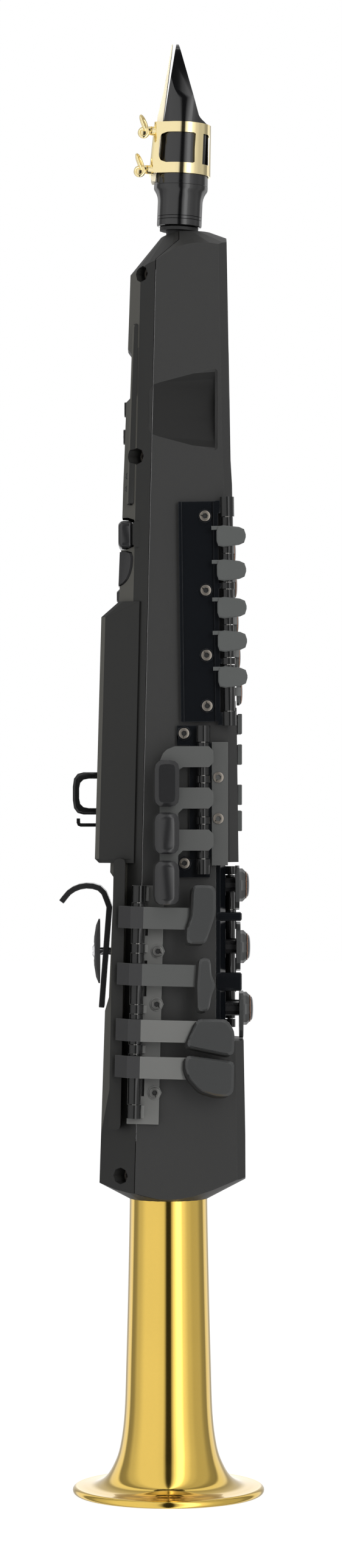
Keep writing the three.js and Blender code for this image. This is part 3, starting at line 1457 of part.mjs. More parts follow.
// Right-hand finger keys in the front step, hinged on a rod at the left side
const rightStack = {
  rodX: 30,
  rodY: 17,
  postRadius: 2.6,
  sleeveRadius: 2.5,
  low: 223,
  high: 302.4,
  plateHalf: 13,
  plateThickness: 2,
  posts: [[224, 228], [245, 249.4], [277, 281], [298.4, 302.4]],
  guardHeights: [247.4, 278.7],
  guardHalves: [4.4, 2.1],
  guardReach: 35.2,
  guardY: 10.5,
  guardHalfWidth: 3,
  cheekSpans: [[241, 257.6], [271.6, 288]],
  cheekFront: 33,
  cheekInner: 19.8,
  ridgeFront: 27.4,
  ridgeBack: 12.8,
  ridgeHalf: 7.5,
  stemSlack: 0.8,
};
const rightKeys = {
  names: ['d_key', 'e_key', 'f_key'],
  cupHeights: [234, 263.8, 293.6],
  cupTops: [40.8, 39.4, 38.9],
  cupThickness: 3.4,
  pearlHeight: 1.6,
  cupRadius: 8,
  pearlRadius: 5.9,
  paddleLows: [219.9, 252.2, 281.6],
  paddleHighs: [242.6, 275.9, 303],
  paddleHalf: 9.6,
  paddleThickness: 2,
  paddleCorner: 9,
  stemRadius: 3.5,
  stemEnd: 27,
};

function rightPlateSolid() {
  const s = rightStack;
  const back = rightStep.floor + fit;
  const face = back + s.plateThickness;
  const [foot, head] = [rightStep.bottom + fit, rightStep.top - fit];
  const plate = box([back, -s.plateHalf, foot], [face, body.halfWidth, head]);
  const ridge = prismZ([[back, -s.ridgeBack], [face, -s.ridgeBack], [s.ridgeFront, -s.ridgeHalf],
    [s.ridgeFront, s.ridgeHalf], [face, s.ridgeBack], [back, s.ridgeBack]], foot, head);
  const stemHoles = rightKeys.cupHeights.map((z) => bar([face, 0, z], [s.cheekFront, 0, z],
    rightKeys.stemRadius + s.stemSlack));
  const cheeks = s.cheekSpans.map(([low, high]) => box([back, s.cheekInner, low],
    [s.cheekFront, body.halfWidth, high]));
  const posts = s.posts.flatMap(([low, high]) => [
    bar([s.rodX, s.rodY, low], [s.rodX, s.rodY, high], s.postRadius, sides.post),
    box([back, s.rodY - s.postRadius + fit, low + fit], [s.rodX, s.rodY + s.postRadius - fit, high - fit]),
  ]);
  const guards = s.guardHeights.map((z, i) => prismX([
    [-s.guardY - s.guardHalfWidth, z - s.guardHalves[i]], [-s.guardY + s.guardHalfWidth, z - s.guardHalves[i]],
    [-s.guardY + s.guardHalfWidth, z + s.guardHalves[i]], [-s.guardY - s.guardHalfWidth, z + s.guardHalves[i]],
  ], back, s.guardReach, { corner: s.guardHalfWidth / 2, edge: 2 * fit }));
  return cut(join(plate, ridge, ...posts, ...cheeks, ...guards), ...stemHoles, rodBore(s, s.low, s.high, 1));
}

function rightKeySolid(index, span) {
  const k = rightKeys;
  const s = rightStack;
  const z = k.cupHeights[index];
  const top = k.cupTops[index];
  const paddleFront = top - k.pearlHeight - k.cupThickness + fit;
  const paddleBack = paddleFront - k.paddleThickness;
  const [low, high] = [k.paddleLows[index], k.paddleHighs[index]];
  const paddle = prismX([[-k.paddleHalf, low], [k.paddleHalf, low], [k.paddleHalf, high], [-k.paddleHalf, high]],
    paddleBack, paddleFront, { corner: k.paddleCorner, curve: 3 });
  const stem = bar([k.stemEnd, 0, z], [paddleFront - fit, 0, z], k.stemRadius, sides.small);
  const armX = paddleBack + k.paddleThickness / 2;
  const arm = prismZ(strip([[s.rodX, s.rodY], [armX, k.paddleHalf + s.sleeveRadius], [armX, 0]], k.paddleThickness),
    z - k.stemRadius, z + k.stemRadius);
  const whole = join(paddle, stem, arm, pearlCup(k, top, 0, z), sleeve(span, s, 1));
  return cut(whole, rodBore(s, span[0], span[1], 1));
}

// Pinky table on the left, whose touches wrap round to the front
const tableStack = {
  rodX: 30,
  rodY: 25.5,
  postRadius: 2.9,
  sleeveRadius: 2.6,
  low: 312,
  high: 384,
  plateBack: 14,
  plateFront: 27,
  posts: [[313, 318], [343.4, 349.4], [362.3, 364.6], [378, 383]],
  screwPlaces: [[18.6, 317.5], [18.6, 348], [18.6, 378.5]],
};
const tableKeys = {
  names: ['low_b_flat_key', 'low_b_key', 'low_c_sharp_key', 'g_sharp_key'],
  heights: [324.6, 337.2, 356.6, 371.3],
  half: 4.9,
  thickness: 2.1,
  faceX: 35.4,
  turnY: 20.5,
  endY: -8,
  wellDepth: 2,
};
const tableWell = { low: 317.6, high: 377, front: 12 };

function tableWellSolid(extra) {
  const out = body.frontReach + overrun;
  const wide = body.halfWidth + overrun;
  const outline = [[frontX(tableWell.high) - tableKeys.wellDepth - extra, tableWell.high + extra],
    [frontX(tableWell.low) - tableKeys.wellDepth - extra, tableWell.low - extra],
    [out, tableWell.low - extra], [out, tableWell.high + extra]];
  return prismY(outline, -tableWell.front - extra, wide);
}

function tablePlateSolid() {
  const s = tableStack;
  const inner = stack.seatY;
  const plate = box([s.plateBack, inner, s.low], [s.plateFront, inner + stack.plateThickness, s.high]);
  const posts = s.posts.map((span) => post(span, s, s.plateFront - s.postRadius, 1));
  const whole = join(plate, ...posts, ...screwBosses(s.screwPlaces, inner + stack.plateThickness, 1));
  return cut(whole, rodBore(s, s.low, s.high, 1));
}

function tableKeySolid(index, span) {
  const k = tableKeys;
  const s = tableStack;
  const z = k.heights[index];
  const middle = k.faceX - k.thickness / 2;
  const line = [[s.rodX, s.rodY], [middle, k.turnY], [middle, k.endY]];
  const touch = prismZ(strip(line, k.thickness), z - k.half, z + k.half, { edge: fit });
  return cut(join(touch, sleeve(span, s, 1)), rodBore(s, span[0], span[1], 1));
}

function tableSpans() {
  const [low, middle, high] = freeSpans(tableStack.posts);
  return [...halves(low, 0.5), middle, high];
}

// Palm keys on the left, their rod pressed into its posts
const palmStack = {
  rodX: 9,
  rodY: 27,
  postRadius: 3,
  sleeveRadius: 2.6,
  plateBack: 3,
  plateFront: 19,
  posts: [[482, 486.5], [509, 512], [534, 537], [559, 563.5]],
  screwPlaces: [[15, 486.5], [15, 522], [15, 559]],
};
const palmKeys = {
  names: ['high_d_key', 'high_e_flat_key', 'high_f_key'],
  heights: [497.7, 523, 548],
  armHalf: 4,
  armFace: 31,
  armEnd: 20,
  riseShare: 0.4,
  touchBack: 15,
  touchFront: 28,
  touchHalf: 9.5,
  touchBase: 30,
  touchFace: 35.5,
  corner: 4,
  edge: 1.5,
};

function palmPlateSolid() {
  const s = palmStack;
  const inner = stack.seatY;
  const low = s.posts[0][0];
  const high = s.posts.at(-1)[1];
  const plate = box([s.plateBack, inner, low], [s.plateFront, inner + stack.plateThickness, high]);
  const posts = s.posts.map((span) => post(span, s, s.rodX + s.postRadius / 2, 1));
  const rod = rodSolid(s, low + fit, high - fit, 1);
  return join(plate, ...posts, rod, ...screwBosses(s.screwPlaces, inner + stack.plateThickness, 1));
}

function palmKeySolid(index, span) {
  const k = palmKeys;
  const s = palmStack;
  const z = k.heights[index];
  const line = [[s.rodX, s.rodY + s.sleeveRadius], [between(s.rodX, k.armEnd, k.riseShare), k.armFace], [k.armEnd, k.armFace]];
  const arm = prismZ(strip(line, stack.armThickness), z - k.armHalf, z + k.armHalf, { edge: fit });
  const touch = prismY([[k.touchBack, z - k.touchHalf], [k.touchFront, z - k.touchHalf],
    [k.touchFront, z + k.touchHalf], [k.touchBack, z + k.touchHalf]], k.touchBase, k.touchFace,
  { corner: k.corner, edge: k.edge });
  return cut(join(arm, touch, sleeve(span, s, 1)), rodBore(s, span[0], span[1], 1));
}

// Finishes
function finish(color, roughness, metalness) {
  return new THREE.MeshStandardMaterial({ color, roughness, metalness });
}
const finishes = {
  body: finish(0x4d4e4d, 0.62, 0),
  key: finish(0x26272a, 0.36, 0),
  gloss: finish(0x14181c, 0.12, 0),
  ebonite: finish(0x1b1b1c, 0.15, 0),
  cane: finish(0xd9cba4, 0.6, 0),
  lacquer: finish(0xd9a740, 0.16, 1),
  gilt: finish(0xe8c987, 0.18, 1),
  steel: finish(0x9a9a98, 0.25, 1),
  chrome: finish(0xc9ccd0, 0.08, 1),
  cork: finish(0xb08a5c, 0.85, 0),
  rubber: finish(0x1c1c1d, 0.8, 0),
  board: finish(0x1f4a33, 0.55, 0),
};

function piece(name, shape, material) {
  const { numProp, vertProperties, triVerts } = asSolid(shape).simplify(flatTolerance).getMesh();
  const geometry = new THREE.BufferGeometry();
  geometry.setAttribute('position', new THREE.BufferAttribute(Float32Array.from(vertProperties), numProp));
  geometry.setIndex(Array.from(triVerts));
  geometry.computeVertexNormals();
  const mesh = new THREE.Mesh(geometry, material);
  mesh.name = name;
  return mesh;
}

function buildMouth() {
  const group = new THREE.Group();
  group.position.set(neck.x, 0, body.top);
  group.rotation.y = neckLean;
  const blown = new THREE.Group();
  blown.position.z = mouth.start;
  blown.add(
    piece('mouthpiece', mouthpieceSolid(), finishes.ebonite),
    piece('reed', reedSolid(), finishes.cane),
    piece('ligature', ligatureSolid(), finishes.gilt),
  );
  ['ligature_screw_lower', 'ligature_screw_upper'].forEach((name, i) => {
    const z = ligature.screwHeights[i];
    const screw = piece(name, wingScrewSolid(), finishes.gilt);
    const distance = bossEnd(z);
    screw.position.set(-distance * Math.cos(screwTurn), -distance * Math.sin(screwTurn), z);
    screw.rotation.z = screwTurn;
    blown.add(screw);
  });
  group.add(piece('neck_cork', corkSolid(), finishes.cork), blown);
  return group;
}

function buildBody() {
  const group = new THREE.Group();
  const { front, rear } = shells();
  group.add(
    piece('front_housing', front, finishes.body),
    piece('rear_housing', rear, finishes.body),
    piece('neck_tube', neckSolid(), finishes.gloss),
    piece('bell', bellSolid(), finishes.lacquer),
    piece('main_board', boardSolid(), finishes.board),
    piece('battery_pack', batterySolid(), finishes.key),
    piece('vibration_driver', driverSolid(), finishes.steel),
    piece('display_window', displaySolid(), finishes.gloss),
    piece('volume_up_button', volumeButtonSolid(volumeButton.heights[0]), finishes.rubber),
    piece('volume_down_button', volumeButtonSolid(volumeButton.heights[1]), finishes.rubber),
    piece('function_button_upper', functionButtonSolid(functionButton.heights[0]), finishes.rubber),
    piece('function_button_lower', functionButtonSolid(functionButton.heights[1]), finishes.rubber),
    piece('octave_key', octaveKeySolid(), finishes.key),
    piece('thumb_rest', thumbRestSolid(), finishes.rubber),
    piece('analog_controller', controllerSolid(), finishes.key),
    piece('battery_door', doorSolid(), finishes.body),
    piece('strap_ring', strapRingSolid(), finishes.gloss),
    piece('cable_hook', cableHookSolid(), finishes.gloss),
    piece('thumb_hook', thumbHookSolid(), finishes.gloss),
    piece('thumb_hook_pad', hookPadSolid(), finishes.rubber),
    piece('thumb_hook_screw', hookScrewSolid(), finishes.chrome),
  );
  return group;
}

function buildLeftStack() {
  const group = new THREE.Group();
  group.position.set(leftStack.x, 0, leftStack.foot);
  group.rotation.y = leftLean;
  const [bottom, top] = [postSpans(leftStack)[0][0], postSpans(leftStack).at(-1)[1]];
  group.add(
    piece('left_stack_plate', leftPlateSolid(), finishes.gloss),
    piece('left_stack_rod', rodSolid(leftStack, bottom, top, -1), finishes.steel),
    ...leftSpans().map((span, i) => piece(leftKeys.names[i], leftKeySolid(i, span), finishes.key)),
  );
  return group;
}

function buildSideStack() {
  const group = new THREE.Group();
  const [low, high] = [sideStack.posts[0][0], sideStack.posts.at(-1)[1]];
  group.add(
    piece('side_key_plate', sidePlateSolid(), finishes.gloss),
    piece('side_key_rod', rodSolid(sideStack, low, high, -1), finishes.steel),
    ...freeSpans(sideStack.posts).map((span, i) => piece(sideKeys.names[i], sideKeySolid(i, span), finishes.key)),
  );
  return group;
}

function buildLowerStack() {
  const group = new THREE.Group();
  group.position.set(lowerStack.x, 0, lowerStack.top - lowerStack.height);
  group.rotation.y = lowerLean;
  const [low, high] = [postSpans(lowerStack)[0][0], postSpans(lowerStack).at(-1)[1]];
  group.add(
    piece('lower_key_plate', lowerPlateSolid(), finishes.gloss),
    piece('lower_key_rod', rodSolid(lowerStack, low, high, -1), finishes.steel),
    ...lowerSpans().map((span, i) => piece(lowerKeys.names[i], lowerKeySolid(i, span), finishes.key)),
  );
  return group;
}

function buildRightStack() {
  const group = new THREE.Group();
  const [low, high] = [rightStack.posts[0][0], rightStack.posts.at(-1)[1]];
  group.add(
    piece('right_stack_plate', rightPlateSolid(), finishes.gloss),
    piece('right_stack_rod', rodSolid(rightStack, low, high, 1), finishes.steel),
    ...freeSpans(rightStack.posts).map((span, i) => piece(rightKeys.names[i], rightKeySolid(i, span), finishes.key)),
  );
  return group;
}

function buildLeftSide() {
  const group = new THREE.Group();
  const [low, high] = [tableStack.posts[0][0], tableStack.posts.at(-1)[1]];
  group.add(
    piece('table_key_plate', tablePlateSolid(), finishes.gloss),
    piece('table_key_rod', rodSolid(tableStack, low, high, 1), finishes.steel),
    ...tableSpans().map((span, i) => piece(tableKeys.names[i], tableKeySolid(i, span), finishes.key)),
    piece('palm_key_plate', palmPlateSolid(), finishes.gloss),
    ...freeSpans(palmStack.posts).map((span, i) => piece(palmKeys.names[i], palmKeySolid(i, span), finishes.key)),
  );
  return group;
}

const group = new THREE.Group();
group.add(buildBody(), buildMouth(), buildLeftStack(), buildSideStack(), buildLowerStack(), buildRightStack(),
  buildLeftSide());
export default group;
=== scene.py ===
"""Digital wind controller: its looks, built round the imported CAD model."""
import json
import math

import bmesh
import bpy
from mathutils import Matrix, Vector

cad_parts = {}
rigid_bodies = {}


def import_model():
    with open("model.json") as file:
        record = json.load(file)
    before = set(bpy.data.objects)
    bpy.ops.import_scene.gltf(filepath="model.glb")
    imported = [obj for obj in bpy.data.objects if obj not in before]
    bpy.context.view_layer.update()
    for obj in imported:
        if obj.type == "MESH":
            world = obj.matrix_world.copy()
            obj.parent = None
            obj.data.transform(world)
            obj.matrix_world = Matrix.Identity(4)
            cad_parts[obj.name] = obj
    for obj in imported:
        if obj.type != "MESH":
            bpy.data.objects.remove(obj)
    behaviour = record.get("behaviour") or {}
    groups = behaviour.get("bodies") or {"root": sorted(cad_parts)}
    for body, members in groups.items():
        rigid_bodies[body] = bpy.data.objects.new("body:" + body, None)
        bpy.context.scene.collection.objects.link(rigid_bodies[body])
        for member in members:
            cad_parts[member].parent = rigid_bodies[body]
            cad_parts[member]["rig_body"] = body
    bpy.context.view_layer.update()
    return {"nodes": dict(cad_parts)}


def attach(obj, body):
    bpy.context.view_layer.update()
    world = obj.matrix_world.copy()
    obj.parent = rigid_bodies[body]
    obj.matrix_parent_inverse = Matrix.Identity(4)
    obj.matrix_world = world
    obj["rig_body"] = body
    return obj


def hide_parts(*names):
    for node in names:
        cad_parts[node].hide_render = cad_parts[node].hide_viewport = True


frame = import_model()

MM = 0.001
nodes = frame["nodes"]


# Camera and lamps, in metres

camera_place = (0.0012, -2.0, 0.3424)
lens_length = 95
film_width = 36

# Each lamp with its place, the point that it faces, its width and height, and its power in watts
lamps = {
    "left_lamp": ((-1.4, -0.9, 0.75), (0, 0, 0.35), (0.5, 1.5), 5),
    "right_lamp": ((0.7, -1.7, 0.9), (0, 0, 0.3), (0.4, 0.9), 20),
    "top_lamp": ((0.2, -0.9, 1.9), (0, 0, 0.4), (0.6, 0.6), 8),
}


def add_camera():
    bpy.ops.object.camera_add(location=camera_place, rotation=(math.radians(90), 0, 0))
    camera = bpy.context.object
    camera.name = "photo_camera"
    camera.data.lens = lens_length
    camera.data.sensor_width = film_width
    camera.data.sensor_fit = "AUTO"
    bpy.context.scene.camera = camera


def add_lamp(name, place, target, size, power):
    bpy.ops.object.light_add(type="AREA", location=place)
    lamp = bpy.context.object
    lamp.name = name
    aim = Vector(target) - Vector(place)
    lamp.rotation_euler = aim.to_track_quat("-Z", "Y").to_euler()
    lamp.data.shape = "RECTANGLE"
    lamp.data.size, lamp.data.size_y = size
    lamp.data.energy = power
    lamp.visible_glossy = False


# Room and floor

# Brightness of the room that gloss reflects, by degrees to the right of the camera
room_tones = [
    (-180, 1.2), (-168, 0.65), (-152, 0.45), (-141, 1.0), (-127, 1.1), (-119, 0.3), (-108, 0.35),
    (-92, 0.7), (-66, 1.0), (-32, 1.0), (-14, 0.95), (-9, 0.5), (-6, 0.03), (6, 0.03), (10, 0.7),
    (16, 1.4), (25, 2.5), (33, 2.5), (42, 1.2), (60, 0.75), (74, 0.6), (92, 0.6), (108, 0.35),
    (119, 0.3), (127, 1.0), (141, 1.0), (152, 0.45), (168, 0.65), (180, 1.2),
]
room_peak = max(tone for degrees, tone in room_tones)
room_fill = 0.45
backdrop_glow = 1.0
white = (1, 1, 1, 1)

floor_width = 12
floor_height = -0.0005
floor_paint = (0.9, 0.9, 0.9)
floor_roughness = 0.7
floor_glow = 1.16
floor_glow_share = 0.8


def room_ramp(tree):
    """The tone of the room in the direction that a ray leaves by."""
    parts = tree.nodes.new("ShaderNodeSeparateXYZ")
    tree.links.new(tree.nodes.new("ShaderNodeTexCoord").outputs["Generated"], parts.inputs[0])
    front = math_node(tree, "MULTIPLY", parts.outputs["Y"], -1)
    turn = math_node(tree, "ADD", math_node(tree, "ARCTAN2", parts.outputs["X"], front), math.pi)
    ramp = tree.nodes.new("ShaderNodeValToRGB")
    ramp.color_ramp.interpolation = "EASE"
    while len(ramp.color_ramp.elements) < len(room_tones):
        ramp.color_ramp.elements.new(0.5)
    for element, (degrees, tone) in zip(ramp.color_ramp.elements, room_tones):
        element.position = (degrees + 180) / 360
        element.color = (*[tone / room_peak] * 3, 1)
    tree.links.new(math_node(tree, "DIVIDE", turn, math.tau), ramp.inputs["Fac"])
    return ramp.outputs["Color"]


def mirrored_rays(tree, path):
    return math_node(tree, "MAXIMUM", path.outputs["Is Glossy Ray"], path.outputs["Is Transmission Ray"])


def add_world():
    world = bpy.data.worlds.new("studio")
    bpy.context.scene.world = world
    world.use_nodes = True
    tree = world.node_tree
    tree.nodes.clear()
    path = tree.nodes.new("ShaderNodeLightPath")
    fill = background(tree, white, room_fill)
    room = background(tree, room_ramp(tree), room_peak)
    backdrop = background(tree, white, backdrop_glow)
    lit = join_shaders(tree, mirrored_rays(tree, path), fill, room)
    shown = join_shaders(tree, path.outputs["Is Camera Ray"], lit, backdrop)
    tree.links.new(shown, tree.nodes.new("ShaderNodeOutputWorld").inputs["Surface"])


def background(tree, colour, strength):
    node = tree.nodes.new("ShaderNodeBackground")
    node.inputs["Strength"].default_value = strength
    feed(tree, colour, node.inputs["Color"])
    return node.outputs[0]


def join_shaders(tree, share, first, second):
    node = tree.nodes.new("ShaderNodeMixShader")
    tree.links.new(share, node.inputs["Fac"])
    tree.links.new(first, node.inputs[1])
    tree.links.new(second, node.inputs[2])
    return node.outputs[0]


def floor_material():
    material, tree, shader = new_material("floor_paint")
    shader.inputs["Base Color"].default_value = (*floor_paint, 1)
    shader.inputs["Roughness"].default_value = floor_roughness
    path = tree.nodes.new("ShaderNodeLightPath")
    glow = tree.nodes.new("ShaderNodeEmission")
    glow.inputs["Strength"].default_value = floor_glow
    clear = tree.nodes.new("ShaderNodeBsdfTransparent")
    share = math_node(tree, "MULTIPLY", path.outputs["Is Camera Ray"], floor_glow_share)
    mixed = join_shaders(tree, share, shader.outputs[0], glow.outputs[0])
    shown = join_shaders(tree, mirrored_rays(tree, path), mixed, clear.outputs[0])
    tree.links.new(shown, tree.nodes["Material Output"].inputs["Surface"])
    return material


def add_floor():
    bpy.ops.mesh.primitive_plane_add(size=floor_width, location=(0, 0, floor_height))
    floor = bpy.context.object
    floor.name = "studio_floor"
    floor.data.materials.append(floor_material())


# Node helpers

def new_material(name):
    material = bpy.data.materials.new(name)
    material.use_nodes = True
    return material, material.node_tree, material.node_tree.nodes["Principled BSDF"]


def set_inputs(node, values):
    for label, value in values.items():
        node.inputs[label.replace("_", " ")].default_value = value


def feed(tree, value, socket):
    """Gives a socket a plain value, or links it to the output of another node."""
    if isinstance(value, (int, float, tuple)):
        socket.default_value = value
    else:
        tree.links.new(value, socket)


def new_group(name, inputs, outputs):
    tree = bpy.data.node_groups.new(name, "ShaderNodeTree")
    for label, kind, value in inputs:
        socket = tree.interface.new_socket(label, in_out="INPUT", socket_type=kind)
        socket.default_value = value
    for label, kind in outputs:
        tree.interface.new_socket(label, in_out="OUTPUT", socket_type=kind)
    return tree, tree.nodes.new("NodeGroupInput"), tree.nodes.new("NodeGroupOutput")


def math_node(tree, operation, first, second, clamp=False):
    node = tree.nodes.new("ShaderNodeMath")
    node.operation = operation
    node.use_clamp = clamp
    feed(tree, first, node.inputs[0])
    feed(tree, second, node.inputs[1])
    return node.outputs[0]


def mix_colours(tree, factor, first, second):
    node = tree.nodes.new("ShaderNodeMix")
    node.data_type = "RGBA"
    for slot, value in ((0, factor), (6, first), (7, second)):
        feed(tree, value, node.inputs[slot])
    return node.outputs[2]


def noise(tree, vector, scale, detail):
    node = tree.nodes.new("ShaderNodeTexNoise")
    node.inputs["Detail"].default_value = detail
    tree.links.new(vector, node.inputs["Vector"])
    feed(tree, scale, node.inputs["Scale"])
    return node.outputs[0]


# Shared surface effects

FLOAT = "NodeSocketFloat"
COLOUR = "NodeSocketColor"


def object_place(tree):
    return tree.nodes.new("ShaderNodeTexCoord").outputs["Object"]


def roughness_with(tree, pattern, given):
    """The given roughness, swung up and down by a pattern."""
    swing = math_node(tree, "SUBTRACT", pattern, 0.5)
    spread = math_node(tree, "MULTIPLY", swing, given.outputs["Roughness Spread"])
    return math_node(tree, "ADD", given.outputs["Roughness"], spread, clamp=True)


def build_surface_grain():
    """Moulded or painted stock: fine grain, and slow clouds of a second colour and roughness."""
    speck_share = 0.35
    cloud_share = 0.7
    tree, given, made = new_group("surface_grain", [
        ("Colour", COLOUR, (0.1, 0.1, 0.1, 1)), ("Cloud Colour", COLOUR, (0.15, 0.15, 0.15, 1)),
        ("Grain Scale", FLOAT, 1200), ("Cloud Scale", FLOAT, 14),
        ("Roughness", FLOAT, 0.4), ("Roughness Spread", FLOAT, 0.1),
    ], [("Colour", COLOUR), ("Roughness", FLOAT), ("Height", FLOAT)])
    where = object_place(tree)
    grain = noise(tree, where, given.outputs["Grain Scale"], detail=2)
    cloud = noise(tree, where, given.outputs["Cloud Scale"], detail=4)
    speck = math_node(tree, "MULTIPLY", grain, speck_share)
    amount = math_node(tree, "MULTIPLY", math_node(tree, "ADD", cloud, speck), cloud_share, clamp=True)
    colour = mix_colours(tree, amount, given.outputs["Colour"], given.outputs["Cloud Colour"])
    tree.links.new(colour, made.inputs["Colour"])
    tree.links.new(roughness_with(tree, cloud, given), made.inputs["Roughness"])
    tree.links.new(grain, made.inputs["Height"])
    return tree


def build_edge_wear_and_light():
    """A mask of the edges in patches, for an edge colour that stands for wear and painted highlight where
    lighter, and for painted shade where darker.
    """
    edge_gain = 9.0
    patch_gain = 1.6
    tree, given, made = new_group("edge_wear_and_light", [
        ("Width", FLOAT, 0.0006), ("Strength", FLOAT, 0.6), ("Patch Scale", FLOAT, 90),
    ], [("Mask", FLOAT)])
    soft = tree.nodes.new("ShaderNodeBevel")
    soft.samples = 4
    tree.links.new(given.outputs["Width"], soft.inputs["Radius"])
    shape = tree.nodes.new("ShaderNodeNewGeometry")
    dot = tree.nodes.new("ShaderNodeVectorMath")
    dot.operation = "DOT_PRODUCT"
    tree.links.new(soft.outputs["Normal"], dot.inputs[0])
    tree.links.new(shape.outputs["Normal"], dot.inputs[1])
    turned = math_node(tree, "SUBTRACT", 1.0, dot.outputs["Value"])
    edge = math_node(tree, "MULTIPLY", turned, edge_gain, clamp=True)
    patch = noise(tree, object_place(tree), given.outputs["Patch Scale"], detail=3)
    patchy_edge = math_node(tree, "MULTIPLY", edge, math_node(tree, "MULTIPLY", patch, patch_gain, clamp=True))
    mask = math_node(tree, "MULTIPLY", patchy_edge, given.outputs["Strength"], clamp=True)
    tree.links.new(mask, made.inputs["Mask"])
    return tree


def build_drawn_streaks():
    """Streaks along the instrument, as left by drawing, spinning and polishing."""
    tree, given, made = new_group("drawn_streaks", [
        ("Across Scale", FLOAT, 900), ("Along Share", FLOAT, 0.02), ("Roughness", FLOAT, 0.2),
        ("Roughness Spread", FLOAT, 0.15),
    ], [("Roughness", FLOAT), ("Height", FLOAT)])
    parts = tree.nodes.new("ShaderNodeSeparateXYZ")
    tree.links.new(object_place(tree), parts.inputs[0])
    join = tree.nodes.new("ShaderNodeCombineXYZ")
    tree.links.new(parts.outputs["X"], join.inputs["X"])
    tree.links.new(parts.outputs["Y"], join.inputs["Y"])
    along = math_node(tree, "MULTIPLY", parts.outputs["Z"], given.outputs["Along Share"])
    tree.links.new(along, join.inputs["Z"])
    streak = noise(tree, join.outputs[0], given.outputs["Across Scale"], detail=3)
    tree.links.new(roughness_with(tree, streak, given), made.inputs["Roughness"])
    tree.links.new(streak, made.inputs["Height"])
    return tree


# Materials

# Heights of the bumps in metres
grain_depth = 0.0001
streak_depth = 0.00005
metal_cloud_share = 0.86


def linear(tones):
    """A colour for a shader, from red, green and blue as a screen shows them, 0 to 255."""
    return tuple(c / 255 / 12.92 if c <= 10 else ((c / 255 + 0.055) / 1.055) ** 2.4 for c in tones)


def place_group(tree, group, **values):
    node = tree.nodes.new("ShaderNodeGroup")
    node.node_tree = group
    set_inputs(node, values)
    return node


def add_bump(tree, height, strength, distance):
    bump = tree.nodes.new("ShaderNodeBump")
    bump.inputs["Strength"].default_value = strength
    bump.inputs["Distance"].default_value = distance
    tree.links.new(height, bump.inputs["Height"])
    return bump.outputs[0]


def painted(name, colour, cloud, grain_scale, roughness, spread, bump, edge=None, edge_strength=0.5,
            edge_width=0.0005, cloud_scale=14, **shader_values):
    """A moulded, painted or lacquered finish with its grain and, where it has one, its edge colour in
    patches: lighter for wear and painted highlight, darker for painted shade.
    """
    material, tree, shader = new_material(name)
    grain = place_group(tree, surface_grain, Colour=(*linear(colour), 1),
                        Cloud_Colour=(*linear(cloud), 1), Grain_Scale=grain_scale,
                        Cloud_Scale=cloud_scale, Roughness=roughness, Roughness_Spread=spread)
    tint = grain.outputs["Colour"]
    if edge:
        edge_mask = place_group(tree, edge_wear_and_light, Width=edge_width, Strength=edge_strength)
        tint = mix_colours(tree, edge_mask.outputs["Mask"], tint, (*linear(edge), 1))
    tree.links.new(tint, shader.inputs["Base Color"])
    tree.links.new(grain.outputs["Roughness"], shader.inputs["Roughness"])
    if bump:
        raised = add_bump(tree, grain.outputs["Height"], bump, grain_depth)
        tree.links.new(raised, shader.inputs["Normal"])
    set_inputs(shader, shader_values)
    return material


def metal(name, colour, roughness, spread, across=900, along=0.02, bump=0.05, **shader_values):
    """A bare or plated metal with the streaks of its making."""
    material, tree, shader = new_material(name)
    streaks = place_group(tree, drawn_streaks, Across_Scale=across, Along_Share=along,
                          Roughness=roughness, Roughness_Spread=spread)
    bright = linear(colour)
    cloud = [c * metal_cloud_share for c in bright]
    grain = place_group(tree, surface_grain, Colour=(*bright, 1), Cloud_Colour=(*cloud, 1),
                        Grain_Scale=700, Cloud_Scale=22)
    tree.links.new(grain.outputs["Colour"], shader.inputs["Base Color"])
    tree.links.new(streaks.outputs["Roughness"], shader.inputs["Roughness"])
    raised = add_bump(tree, streaks.outputs["Height"], bump, streak_depth)
    tree.links.new(raised, shader.inputs["Normal"])
    shader.inputs["Metallic"].default_value = 1
    set_inputs(shader, shader_values)
    return material


def cane():
    """Reed cane, with long fibres in place of the moulded grain."""
    cane_roughness = 0.45
    material = painted("reed_cane", (236, 228, 204), (222, 211, 180), 500, cane_roughness, 0.1, 0.05)
    tree = material.node_tree
    shader = tree.nodes["Principled BSDF"]
    fibres = place_group(tree, drawn_streaks, Across_Scale=1800, Along_Share=0.015,
                         Roughness=cane_roughness, Roughness_Spread=0.2)
    tree.links.new(fibres.outputs["Roughness"], shader.inputs["Roughness"])
    raised = add_bump(tree, fibres.outputs["Height"], 0.3, grain_depth)
    tree.links.new(raised, shader.inputs["Normal"])
    return material


surface_grain = build_surface_grain()
edge_wear_and_light = build_edge_wear_and_light()
drawn_streaks = build_drawn_streaks()
